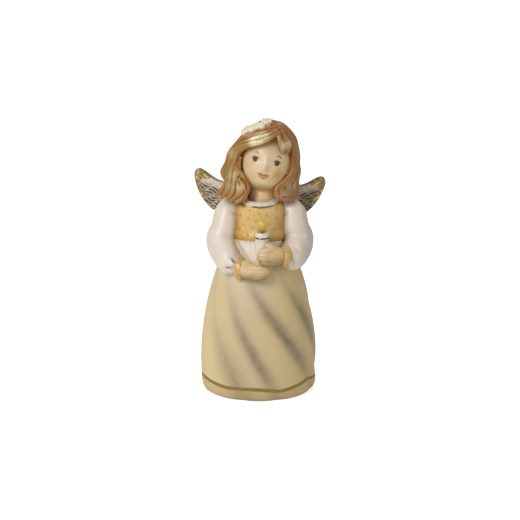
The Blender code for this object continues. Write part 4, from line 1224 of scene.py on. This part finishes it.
def head_matrix(lean=HEAD_ROLL):
    """Place and turn of the head; the mass of hair leans less."""
    roll = Matrix.Rotation(math.radians(lean), 4, "Y")
    pitch = Matrix.Rotation(math.radians(HEAD_PITCH), 4, "X")
    yaw = Matrix.Rotation(math.radians(HEAD_YAW), 4, "Z")
    return Matrix.Translation(HEAD_CENTRE) @ roll @ pitch @ yaw


# Soft rises and hollows of the face: across, up, half sizes and height, in mm
FACE_RELIEF = (
    (0.0, -1.0, 0.9, 2.2, 0.45),
    (-0.1, -2.9, 1.2, 1.0, 1.5),
    (-4.3, -4.6, 3.0, 2.6, 0.75),
    (4.3, -4.6, 3.0, 2.6, 0.75),
    (0.0, -8.9, 2.2, 1.5, 0.8),
    (0.0, -5.8, 1.9, 0.85, 0.4),
    (0.0, -5.35, 1.7, 0.32, 0.14),
    (0.0, -6.4, 1.15, 0.4, 0.24),
    (0.0, -5.85, 2.1, 0.14, -0.16),
    (-4.1, -0.4, 1.9, 1.5, -0.5),
    (4.1, -0.4, 1.9, 1.5, -0.5),
    (-3.9, -0.5, 1.1, 0.95, 0.25),
    (3.9, -0.5, 1.1, 0.95, 0.25),
)
EYE_ACROSS = 3.9
EYE_UP = -0.5


def head_surface(points):
    """The head for unit directions in the head's frame."""
    x, y, z = points.T
    low = np.maximum(0, -z)
    across = HEAD_WIDTH / 2 * x * (1 - JAW_TAPER * low ** 2)
    depth = HEAD_DEPTH / 2 * y * (1 - 0.10 * low ** 2) - CHIN_FORWARD * low ** 2
    height = HEAD_HEIGHT / 2 * z - CHIN_DROP * low ** 2
    front = np.clip(-y * 2, 0, 1)
    for a, b, wide, tall, rise in FACE_RELIEF:
        u = (across / MM - a) / wide
        v = (height / MM - b) / tall
        depth = depth - rise * MM * front * np.exp(-u * u - v * v)
    return np.stack([across, depth, height], axis=1)


def stroke(a, b, start, end, thick, soft=0.09):
    """A brush stroke from one point to another that thins to a fifth at its end."""
    start, end = np.array(start), np.array(end)
    line = end - start
    t = np.clip(((a - start[0]) * line[0] + (b - start[1]) * line[1]) / (line @ line), 0, 1)
    away = np.hypot(a - start[0] - t * line[0], b - start[1] - t * line[1])
    half = thick / 2 * (1 - 0.8 * t)
    return step_between(half + soft, half - soft * 0.4, away)


def painted_face(across, up, front):
    """The brushed features of the face as one layer of paint, with painted shade and highlights that
    model its forms.
    """
    coats = []

    def coat(mask, code):
        coats.append((np.clip(mask, 0, 1) * front, code))

    # Painted shade over the forehead under the fringe, and on the +X side of the face away from the
    # light
    coat(0.6 * spot(across, up, (1.0, 6.8), (7.4, 4.6)), "#B99A76")
    coat(0.22 * step_between(0.8, 5.5, across), "#C49A50")
    # Blush on the cheeks, stronger and darker at +X, where it is partly painted shade
    coat(0.75 * spot(across, up, (5.0, -4.4), (1.9, 2.1)), "#D08A22")
    coat(0.30 * spot(across, up, (-4.6, -3.2), (2.4, 2.0)), "#DBAA70")
    # Painted shade under the chin
    coat(0.85 * step_between(-7.8, -11.2, up), "#BA8012")
    # Painted highlight down the nose, painted shade beside and under it, and a painted highlight at -X
    # between nose and mouth
    coat(0.40 * spot(across, up, (-0.5, -1.9), (0.85, 2.4)), "#F6EAD6")
    coat(0.26 * spot(across, up, (1.75, -2.2), (0.75, 1.7)), "#C28A50")
    coat(0.34 * spot(across, up, (0.9, -4.15), (1.0, 0.38)), "#B47C40")
    coat(0.22 * spot(across, up, (-2.2, -5.0), (1.0, 1.2)), "#F2D2AE")
    for side in (-1, 1):
        u = (across - side * EYE_ACROSS) * side
        v = up - EYE_UP
        # Painted shade in the hollow round the eye
        coat(0.25 * spot(u, v, (0, 0.1), (1.5, 1.2), 4), "#BFA27C")
        iris = step_between(1.14, 0.84, np.hypot((u - 0.05) / 0.86, v / 0.98))
        coat(iris, "#441804")
        coat(iris * step_between(0.05, -0.5, v) * step_between(0.75, 0.35, np.abs(u)) * 0.6, "#8A3808")
        lid = 0.84 - 0.62 * (u / 1.25) ** 2
        edge = step_between(1.4, 1.05, np.abs(u - 0.08))
        coat(0.9 * edge * step_between(0.3, 0.1, np.abs(v - lid)), "#301A0C")
        for foot, tip in (((-0.95, 0.42), (-1.35, 0.6)), ((-0.4, 0.8), (-0.6, 1.25)),
                          ((0.2, 0.82), (0.2, 1.3)), ((0.75, 0.66), (1.0, 1.1)),
                          ((1.1, 0.4), (1.5, 0.55)), ((1.0, 0.1), (1.3, -0.3))):
            coat(0.55 * stroke(u, v, foot, tip, 0.18), "#4A3222")
        lower = -0.98 + 0.5 * (u / 1.2) ** 2
        coat(0.3 * step_between(1.2, 0.8, np.abs(u)) * step_between(0.2, 0.05, np.abs(v - lower)),
             "#8A5A34")
        # A painted highlight in the eye
        glint = step_between(0.15, 0.06, np.hypot(across - side * EYE_ACROSS + 0.2, v - 0.28))
        coat(0.5 * glint, "#D9BFA8")
        arch = 2.55 - 0.5 * ((u - 0.1) / 1.0) ** 2
        tip = step_between(1.3, 0.7, np.abs(u - 0.25))
        dark = 0.35 + 0.55 * step_between(-0.7, 0.6, u * side)
        coat(dark * tip * step_between(0.46, 0.12, np.abs(v - arch)), "#6E5028")
    half = 2.4
    reach = np.clip(1 - (across / half) ** 2, 0, 1)
    middle = -5.75 + 0.42 * (across / half) ** 2 - 0.08 * np.exp(-(across / 0.5) ** 2)
    top = middle + (0.95 - 0.3 * np.exp(-(across / 0.42) ** 2)) * reach ** 0.8
    bottom = middle - 1.35 * np.clip(1 - ((across - 0.1) / (half * 0.85)) ** 2, 0, 1) ** 0.85
    upper = step_between(-0.14, 0.14, top - up) * step_between(-0.12, 0.12, up - middle) * (reach > 0)
    lower = step_between(-0.16, 0.16, up - bottom) * step_between(-0.1, 0.1, middle - up)
    lower *= step_between(half * 0.9, half * 0.7, np.abs(across))
    coat(0.8 * upper, "#A56A30")
    coat(0.8 * lower, "#C27C3A")
    # A painted highlight on the lower lip
    coat(0.5 * lower * spot(across, up, (0.5, -6.15), (1.0, 0.28)), "#E2AA72")
    coat(0.6 * step_between(0.2, 0.05, np.abs(up - middle))
         * step_between(half, half * 0.8, np.abs(across)), "#835626")
    return brushed(coats)


def head(glaze):
    """The skull with its face, finer in front where the face is."""
    bpy.ops.object.select_all(action="DESELECT")
    bpy.ops.mesh.primitive_uv_sphere_add(segments=144, ring_count=108, radius=1)
    item = fresh("head")
    select_faces(item, lambda c: c[1] < -0.35 and -0.98 < c[2] < 0.75)
    bpy.ops.mesh.subdivide(number_cuts=2)
    bpy.ops.object.mode_set(mode="OBJECT")
    points = points_of(item)
    points /= np.linalg.norm(points, axis=1)[:, None]
    shaped = head_surface(points)
    put_points(item, shaped)
    across, up = shaped[:, 0] / MM, shaped[:, 2] / MM
    keep(item, "paint", painted_face(across, up, (points[:, 1] < -0.2).astype(float)))
    item.data.transform(head_matrix())
    return dress(item, glaze)


# Hair

# Guides of the hair over the face and in front of the shoulders: points from the parting to
# the tips, in mm from the centre of the head. Each sheet of hair lies between two of them.
# The mass at the nape is given by its centre and its half sizes, and the even lower edge of the
# hair at +X by a row of points and its radius.
FRINGE_TOP = ((3.6, -3.6, 12.8), (0.4, -4.2, 13.2), (-4.2, -5.0, 12.0), (-7.8, -5.0, 9.8),
              (-11.0, -4.2, 6.2), (-13.3, -3.2, 3.0), (-14.2, -2.4, -0.6), (-16.0, -2.4, -4.0),
              (-15.2, -3.0, -6.8))
FRINGE_LOW = ((3.9, -6.6, 11.0), (-0.2, -8.9, 9.2), (-4.1, -8.7, 8.1), (-8.3, -7.2, 6.6),
              (-11.1, -5.4, 4.3), (-12.0, -4.7, 0.8), (-12.7, -4.6, -2.4), (-13.3, -4.6, -5.0),
              (-13.0, -4.4, -7.0))
SLANT_OUTER = ((-10.8, -4.6, 2.6), (-12.6, -4.9, -1.8), (-14.2, -4.8, -6.0), (-15.4, -4.4, -9.6),
               (-18.2, -3.8, -12.8))
SLANT_INNER = ((-11.4, -4.6, 1.4), (-11.7, -5.2, -2.8), (-12.1, -6.1, -7.0), (-12.6, -6.8, -10.6),
               (-14.4, -6.5, -13.4))
CURL_OUTER = ((-11.6, -4.5, 0.4), (-11.5, -5.0, -3.6), (-10.8, -6.0, -7.2), (-10.4, -7.0, -10.2),
              (-11.4, -7.2, -12.6), (-13.4, -6.8, -13.8))
CURL_INNER = ((-11.6, -4.4, -0.6), (-11.0, -4.9, -4.2), (-8.6, -6.1, -7.2), (-7.2, -6.9, -10.2),
              (-8.4, -7.2, -12.6), (-11.2, -7.0, -13.9))
NAPE = ((0.2, 4.6, -9.5), (9.2, 5.2, 9.0))
RIGHT_HEM = ((3.8, -6.0, -12.9), (7.4, -4.6, -13.3), (11.0, -2.4, -13.3))
HEM_ROLL = 1.15 * MM
SHORT_INNER = ((4.0, -6.6, 11.2), (5.0, -8.0, 8.4), (5.6, -8.4, 6.0), (5.5, -8.3, 3.9))
SHORT_OUTER = ((5.0, -5.8, 11.6), (7.0, -6.9, 8.8), (7.8, -7.2, 6.2), (7.6, -7.3, 3.9))
RIGHT_OUTER = ((3.6, -2.4, 13.4), (6.6, -2.8, 12.0), (9.4, -2.8, 9.0), (10.6, -2.4, 4.6),
               (11.0, -2.0, -0.6), (11.5, -2.2, -3.8), (10.8, -2.4, -7.6), (11.2, -2.8, -13.8))
RIGHT_INNER = ((4.2, -5.2, 11.8), (7.4, -5.2, 9.4), (9.3, -4.9, 5.8), (9.6, -4.6, 0.8),
               (9.0, -4.9, -3.7), (6.7, -5.4, -6.4), (3.5, -6.1, -9.7), (4.0, -6.9, -13.2))

# The two guides of each sheet, its number of locks, their thickness from start to tip, how far
# every second lock stands out and how far the layer underneath lies back, in mm
SHEETS = (
    (FRINGE_TOP, FRINGE_LOW, 5, (0.9, 1.45, 1.45, 1.3, 0.8), 0.25, 0.7),
    (SHORT_INNER, SHORT_OUTER, 2, (1.0, 1.15, 1.05, 0.45), 0.25, 0.8),
    (SLANT_OUTER, SLANT_INNER, 3, (0.9, 1.25, 1.35, 0.75), 0.6, 1.4),
    (CURL_OUTER, CURL_INNER, 2, (0.8, 1.1, 1.2, 0.9), 0.6, 1.4),
    (RIGHT_OUTER, RIGHT_INNER, 7, (0.7, 0.95, 1.0, 1.1, 1.25), 0.45, 1.2),
)
# Cream on the hair, partly gold lustre and partly painted highlights: a point in mm from the
# centre of the head, its reach and its strength
LUSTRE_AND_HIGHLIGHTS = ((-4.3, -8.6, 8.6, 1.9, 2.2), (-2.8, -8.7, 9.5, 2.0, 2.2), (-1.2, -8.4, 10.4, 1.7, 2.0),
          (6.2, -8.2, 7.0, 1.5, 1.0), (8.0, -7.4, 7.4, 1.2, 0.7), (-12.4, -4.4, 3.6, 1.8, 0.6),
          (-11.4, -5.0, -5.0, 2.4, 0.85), (-9.6, -6.4, -9.0, 2.0, 0.9),
          (-12.6, -5.4, -8.4, 2.0, 0.8), (-14.5, -3.6, -11.4, 2.2, 0.4),
          (8.2, -4.6, -8.6, 2.4, 0.3), (5.6, -5.4, -11.4, 2.0, 0.4))
# Washes over the hair as seen from the front, mostly the paint's own colours, with the dark ones
# at +X partly painted shade: x and height from the centre of the head and reach in mm, cover
# and colour
HAIR_WASHES = ((5.6, 11.6, 4.6, 0.6, "#74441C"), (10.5, 7.4, 4.6, 0.5, "#7C5424"),
               (-12.0, 4.2, 3.0, 0.4, "#9A7F34"), (-15.2, -3.6, 3.2, 0.65, "#8A7230"),
               (-17.2, -11.4, 4.0, 0.6, "#A05818"), (-13.2, -9.2, 3.0, 0.4, "#A07C2A"),
               (-7.6, -10.2, 2.2, 0.75, "#8E4A10"), (-9.4, -2.4, 2.0, 0.5, "#A05A18"),
               (9.0, 0.8, 2.6, 0.6, "#7E3E0C"), (11.2, -4.6, 3.8, 0.65, "#6A4A1A"),
               (9.0, -11.4, 4.8, 0.9, "#4E3200"), (4.6, -10.4, 2.2, 0.5, "#8E5416"),
               (-4.4, 12.4, 4.0, 0.35, "#94581C"))


# Width, depth and height in mm of the head that the guide points were drawn on
GUIDE_HEAD = (18.2, 19.6, 21.4)


def head_share(point):
    """A guide point in metres, which grows with the head it lies on."""
    sizes = (HEAD_WIDTH, HEAD_DEPTH, HEAD_HEIGHT)
    return Vector([value * size / drawn for value, size, drawn in zip(point, sizes, GUIDE_HEAD)])


def lock(path, thickness, dice):
    """One lock of hair as a middle strand with thinner ones that weave beside it."""
    count = 46
    path = through(path, count)
    widths = through([(value,) for value in thickness], count)[:, 0] * LOCK_RADIUS
    tangents = np.gradient(path, axis=0)
    outward = path - np.array(HEAD_CENTRE)
    outward /= np.linalg.norm(outward, axis=1)[:, None]
    beside = np.cross(tangents, outward)
    beside /= np.linalg.norm(beside, axis=1)[:, None]
    share = np.linspace(0, 1, count)
    taper = np.clip((1.0 - share) * 15, 0, 1) ** 0.5
    strands = []
    for offset, size, sink in ((0.0, 0.84, 0.12), (-0.5, 0.5, 0.1), (0.52, 0.5, 0.12),
                               (-0.1, 0.34, -0.5)):
        phase = dice.uniform(0, math.tau)
        sway = offset + 0.1 * np.sin(share * 6 + phase)
        rows = path + beside * (sway * widths)[:, None] - outward * (sink * widths)[:, None]
        strands.append(np.hstack([rows, (widths * size * taper)[:, None]]))
    return strands


def between(guides, share, rise):
    """A path between two guides, raised off the head by so many metres."""
    path = guides[0] * (1 - share) + guides[1] * share
    outward = path / np.linalg.norm(path, axis=1)[:, None]
    return path + np.array(HEAD_CENTRE) + outward * rise


def sheet_locks(dice):
    """Locks between each pair of guides, over a thicker layer underneath."""
    fine, under = [], []
    for first, second, count, thickness, step, sink in SHEETS:
        guides = [np.array([head_share(p) for p in guide]) for guide in (first, second)]
        for i in range(count):
            path = between(guides, i / (count - 1), step * MM * (i % 2))
            fine += lock(path, thickness, dice)
        for i in range(count):
            share = UNDER_MARGIN + (1 - 2 * UNDER_MARGIN) * i / (count - 1)
            rows = through(between(guides, share, -sink * MM), 30)
            widths = through([(value,) for value in thickness], 30)[:, 0]
            widths = widths * LOCK_RADIUS * UNDER_LAYER
            under.append(np.hstack([rows, widths[:, None]]))
    return fine, under


def back_locks(dice):
    """Locks that fall from the parting over the sides and the back to the shoulders."""
    fine = []
    for i in range(BACK_LOCKS):
        angle = math.radians(80 + 200 * i / (BACK_LOCKS - 1))
        path = []
        length = HAIR_LENGTH * (1 - 0.06 * (i % 3))
        for k in range(11):
            t = k / 10
            out = math.sin(math.pi * min(t, 0.5))
            rise = math.cos(math.pi * min(t, 0.5))
            hang = max(0.0, t - 0.5) * 2
            wave = WAVE_DEPTH * math.sin(hang * 7.5 + 1.7 * i) * min(1.0, hang * 3)
            reach = out * (HAIR_THICKNESS - LOCK_RADIUS * 0.6) + wave + TIP_FLARE * hang ** 2
            reach += LOCK_STEP * (i % 2) * out
            turn = angle + math.radians(5) * math.sin(hang * 5 + i)
            x = math.sin(turn) * (HEAD_WIDTH / 2 * out + reach) + PARTING_ASIDE * (1 - out)
            y = -math.cos(turn) * (HEAD_DEPTH / 2 * out + reach)
            z = (HEAD_HEIGHT / 2 + CROWN_THICKNESS - LOCK_RADIUS) * rise - length * hang
            x -= HEAD_OFFSET * hang
            path.append(HEAD_CENTRE + Vector((x, y, z)))
        fine += lock(path, (0.9, 1.1, 1.4, 1.5, 1.0), dice)
    return fine


def hair_cap():
    """The mass of hair on the skull, open over the face."""
    bpy.ops.object.select_all(action="DESELECT")
    bpy.ops.mesh.primitive_uv_sphere_add(segments=96, ring_count=72, radius=1)
    item = fresh("hair_cap")
    points = points_of(item)
    x, y, z = points.T
    across = x * (HEAD_WIDTH / 2 + HAIR_THICKNESS)
    depth = y * (HEAD_DEPTH / 2 + HAIR_THICKNESS)
    height = z * (HEAD_HEIGHT / 2 + CROWN_THICKNESS)
    ring = np.hypot(across / FACE_OPENING[0], (height + 3.4 * MM) / FACE_OPENING[1])
    inside = np.where(y < 0, np.clip((1.15 - ring) / 0.3, 0, 1), 0)
    under = np.clip((-0.45 - z) / 0.2, 0, 1)
    shrink = 1 - 0.3 * np.maximum(inside, under)
    put_points(item, np.stack([across, depth, height], axis=1) * shrink[:, None])
    item.data.transform(head_matrix(HAIR_ROLL))
    return item


def hair():
    """All the hair as one mass, with its locks numbered, and washes, lustre and painted highlights
    brushed on.
    """
    dice = random.Random(7)
    fine, under = sheet_locks(dice)
    fine += back_locks(dice)
    under.append([(*(HEAD_CENTRE + head_share(point)), HEM_ROLL) for point in RIGHT_HEM])
    centre, sizes = NAPE
    nape = ball("nape", HEAD_CENTRE + head_share(centre), tuple(head_share(sizes)))
    item = joined([hair_cap(), nape, swept("under_locks", under, 3), swept("fine_locks", fine, 2)],
                  "hair")
    modify(item, "REMESH", mode="VOXEL", voxel_size=HAIR_GRAIN)
    modify(item, "SMOOTH", factor=0.5, iterations=3)
    points = points_of(item)
    number, share, across = along_strands(points, fine, np.array(HEAD_CENTRE))
    keep(item, "strand", np.stack([across / MM * 4.2, share * 7.0, number * 3.7], axis=1))
    keep(item, "ridge", relief(item, 16, 0.19 * MM))
    x, y, z = ((points - np.array(HEAD_CENTRE)) / MM).T
    own = np.array([dice.random() for _ in fine])[number.astype(int)]
    coats = [(0.5 * step_between(0.3, 0.0, own), "#86702A"),
             (0.4 * step_between(0.7, 1.0, own), "#96561A"),
             (0.35 * step_between(-2, 3, y), "#865E24")]
    for a, b, reach, cover, code in HAIR_WASHES:
        coats.append((cover * spot(x, z, (a, b), (reach, reach)) * step_between(3, -1, y), code))
    keep(item, "paint", brushed(coats))
    # Where the cream gold lustre and painted highlights lie
    gilt = np.zeros(len(points))
    for x, y, z, reach, strength in LUSTRE_AND_HIGHLIGHTS:
        away = np.linalg.norm(points - np.array(HEAD_CENTRE) - np.array((x, y, z)) * MM, axis=1)
        gilt = np.maximum(gilt, strength * np.exp(-(away / (reach * MM)) ** 2 * 1.2))
    keep(item, "gilt", gilt)
    return dress(item, hair_glaze())


def blossoms():
    """Three five petalled blossoms with small buds between them, above the fringe."""
    forms = []
    for number, point in enumerate(BLOSSOM_PLACES):
        centre = HEAD_CENTRE + head_share(point)
        outward = (centre - HEAD_CENTRE).normalized()
        turn = (outward.to_track_quat("Z", "Y").to_matrix().to_4x4()
                @ Matrix.Rotation(0.5 * number, 4, "Z"))
        for k in range(PETALS):
            angle = math.tau * k / PETALS
            reach = BLOSSOM_RADIUS - PETAL_RADIUS
            offset = turn @ Vector((reach * math.cos(angle), reach * math.sin(angle), 0))
            tip = turn @ Matrix.Rotation(angle, 4, "Z") @ Matrix.Rotation(-0.35, 4, "Y")
            forms.append(ball("petal", centre + offset,
                              (PETAL_RADIUS, PETAL_RADIUS * 0.92, PETAL_RADIUS * 0.6), tip, 16))
        forms.append(ball("heart", centre + outward * 0.15 * MM,
                          (0.62 * MM, 0.62 * MM, 1.0 * MM), turn, 12))
        forms.append(ball("base", centre - outward * 1.4 * MM,
                          (BLOSSOM_RADIUS * 0.85, BLOSSOM_RADIUS * 0.85, BLOSSOM_RADIUS * 0.9),
                          turn, 16))
    for point in BUD_PLACES:
        centre = HEAD_CENTRE + head_share(point)
        forms.append(ball("bud", centre, (BUD_RADIUS, BUD_RADIUS * 0.9, BUD_RADIUS * 0.9), None, 16))
    item = joined(forms, "blossoms")
    modify(item, "REMESH", mode="VOXEL", voxel_size=0.16 * MM)
    modify(item, "SMOOTH", factor=0.5, iterations=9)
    keep(item, "ridge", relief(item, 20, 0.1 * MM))
    return dress(item, blossom_glaze())


# Wings

def feathering(u, v, outer):
    """How the feathers of a wing are modelled and painted, from the distance outwards and
    upwards in mm and the distance from the outer edge: rise in mm, grooves, barbs, gold and
    where the long feathers lie."""
    gold_width = 1.6 + 0.3 * np.sin(v * 2.3) + 0.9 * step_between(3.6, 6.0, v)
    gold = step_between(gold_width + 0.3, gold_width - 0.3, outer) * step_between(-2.2, -0.2, v)
    row = (v - 0.3 * u + 0.3 * np.sin(u * 1.25 + 0.8 * v)) / 1.15
    number = np.floor(row + 0.5)
    groove = step_between(0.42, 0.14, np.abs(row - number))
    broken = np.sin(u * 1.5 + number * 2.3) + 0.45 * np.sin(u * 3.7 - number * 1.7)
    broken = step_between(-1.0, -0.1, broken)
    low = step_between(5.6, 3.4, v + 0.3 * (16.5 - u)) * step_between(8.0, 10.6, u - 0.12 * v)
    low = np.maximum(low, step_between(-1.6, -3.2, v))
    strokes = groove * broken * low * (1 - gold)
    line = (v - 0.5 * u + 0.12 * np.sin(u * 1.9)) / 0.62
    nearest = np.floor(line + 0.5)
    barbs = step_between(0.3, 0.05, np.abs(line - nearest))
    barbs *= (1 - low) * (1 - gold) * step_between(-0.6, 0.2, np.sin(u * 1.1 + nearest * 1.9))
    rise = 0.16 * gold - 0.3 * groove * low * (1 - gold) - 0.08 * barbs
    rise = rise + 0.08 * low * np.sin(u * 2.6 + number * 1.3)
    return rise, strokes, barbs, gold, low


def wing(side, lift, span, glaze):
    """A plate cut to the wing's outline, with feathers modelled and painted on both faces."""
    root = Vector((BODY_LEAN + side * WING_ASIDE, BODICE_RADIUS * BODICE_FLATNESS - WING_SINK,
                   SHOULDER_HEIGHT - WING_ROOT_DROP))
    place = (Matrix.Translation(root) @ Matrix.Rotation(math.radians(side * WING_SWEEP), 4, "Z")
             @ Matrix.Rotation(math.radians(-side * lift), 4, "Y")
             @ Matrix.Diagonal((side, WING_FLATNESS, 1, 1)))
    scale = span / WING_SPAN
    bpy.ops.object.select_all(action="DESELECT")
    bpy.ops.curve.primitive_bezier_circle_add()
    item = fresh(side_name(side, "wing"))
    item.data.splines.clear()
    item.data.dimensions = "2D"
    item.data.fill_mode = "BOTH"
    item.data.extrude = WING_THICKNESS / 2 - WING_EDGE
    item.data.bevel_depth = WING_EDGE
    item.data.bevel_resolution = 4
    item.data.offset = -WING_EDGE
    loop = item.data.splines.new("POLY")
    rows = through([(x * scale, z) for x, z in WING_OUTLINE], 120)
    loop.points.add(len(rows) - 1)
    for point, (x, z) in zip(loop.points, rows):
        point.co = (x * MM, z * MM, 0, 1)
    loop.use_cyclic_u = True
    bpy.ops.object.convert(target="MESH")
    item = welded(bpy.context.object)
    item.name = item.data.name = side_name(side, "wing")
    item.data.transform(Matrix.Rotation(math.pi / 2, 4, "X"))
    modify(item, "REMESH", mode="VOXEL", voxel_size=0.15 * MM)
    modify(item, "SMOOTH", factor=0.5, iterations=4)
    points = points_of(item)
    u, v = points[:, 0] / MM, points[:, 2] / MM
    rim = np.min([np.hypot(u - x, v - z) for x, z in rows], axis=0)
    edge = [row for row in rows[len(rows) // 4:] if row[0] > 13.5 * scale]
    outer = np.min([np.hypot(u - x, v - z) for x, z in edge], axis=0)
    rise, strokes, barbs, gold, low = feathering(u / scale, v, outer)
    facing = np.abs(normals_of(item)[:, 1])
    points[:, 1] += np.sign(points[:, 1]) * rise * facing * MM
    put_points(item, points)
    noisy = 0.5 + 0.5 * np.sin(u * 2.3 + 1.9 * np.sin(v * 1.3 + 1)) * np.sin(v * 1.7 - 0.8 * u + 2)
    top = step_between(0.9, 0.3, rim) * step_between(2.0, 4.0, v - 0.15 * u) * step_between(3, 8, u)
    # The wing at +X is darker all over as painted shade away from the light, and the light patches in
    # the gold are painted glints
    darker = 0.0 if side < 0 else 0.35
    coats = [(0.5 * low + darker, "#837259"), (0.55 * barbs, "#8A7767"), (0.95 * strokes, "#382C20"),
             (0.3 * low * (1 - strokes) * noisy, "#7E8068"), (0.92 * gold, "#A38A42"),
             (0.85 * gold * step_between(0.68, 0.86, noisy), "#F0DC85"),
             (0.7 * gold * step_between(0.26, 0.1, noisy), "#5E4A20"),
             (0.75 * top * (1 - 0.4 * gold), "#61543F")]
    keep(item, "paint", brushed(coats))
    keep(item, "gilt", gold)
    item.data.transform(place)
    if side < 0:
        item.data.flip_normals()
    keep(item, "ridge", relief(item, 8, 0.2 * MM))
    return dress(item, glaze)


def build():
    """The stage and all 18 pieces of the figurine."""
    stage()
    skirt()
    bodice()
    white = pearl_glaze("white_pearl_glaze", "#EFE2D3", "#E3D3C0", "#6A5632")
    blouse = pearl_glaze("cream_blouse_glaze", "#F3E9DB", "#EADDC9", "#C2A877", 0.45)
    ruffle = pearl_glaze("white_ruffle_glaze", "#F6EDDD", "#EDE0CB", "#6C6152", 0.4)
    skin = skin_glaze()
    gold = cuff_glaze()
    feathers = wing_glaze()
    blouse_front(blouse)
    neck(skin)
    collar(ruffle)
    for side, lift, span in ((-1, LEFT_WING_LIFT, WING_SPAN),
                             (1, RIGHT_WING_LIFT, WING_SPAN - RIGHT_WING_SHORTER)):
        sleeve(side, white)
        cuff(side, gold)
        hand(side, skin)
        wing(side, lift, span, feathers)
    candle()
    flame()
    head(skin)
    hair()
    blossoms()


build()
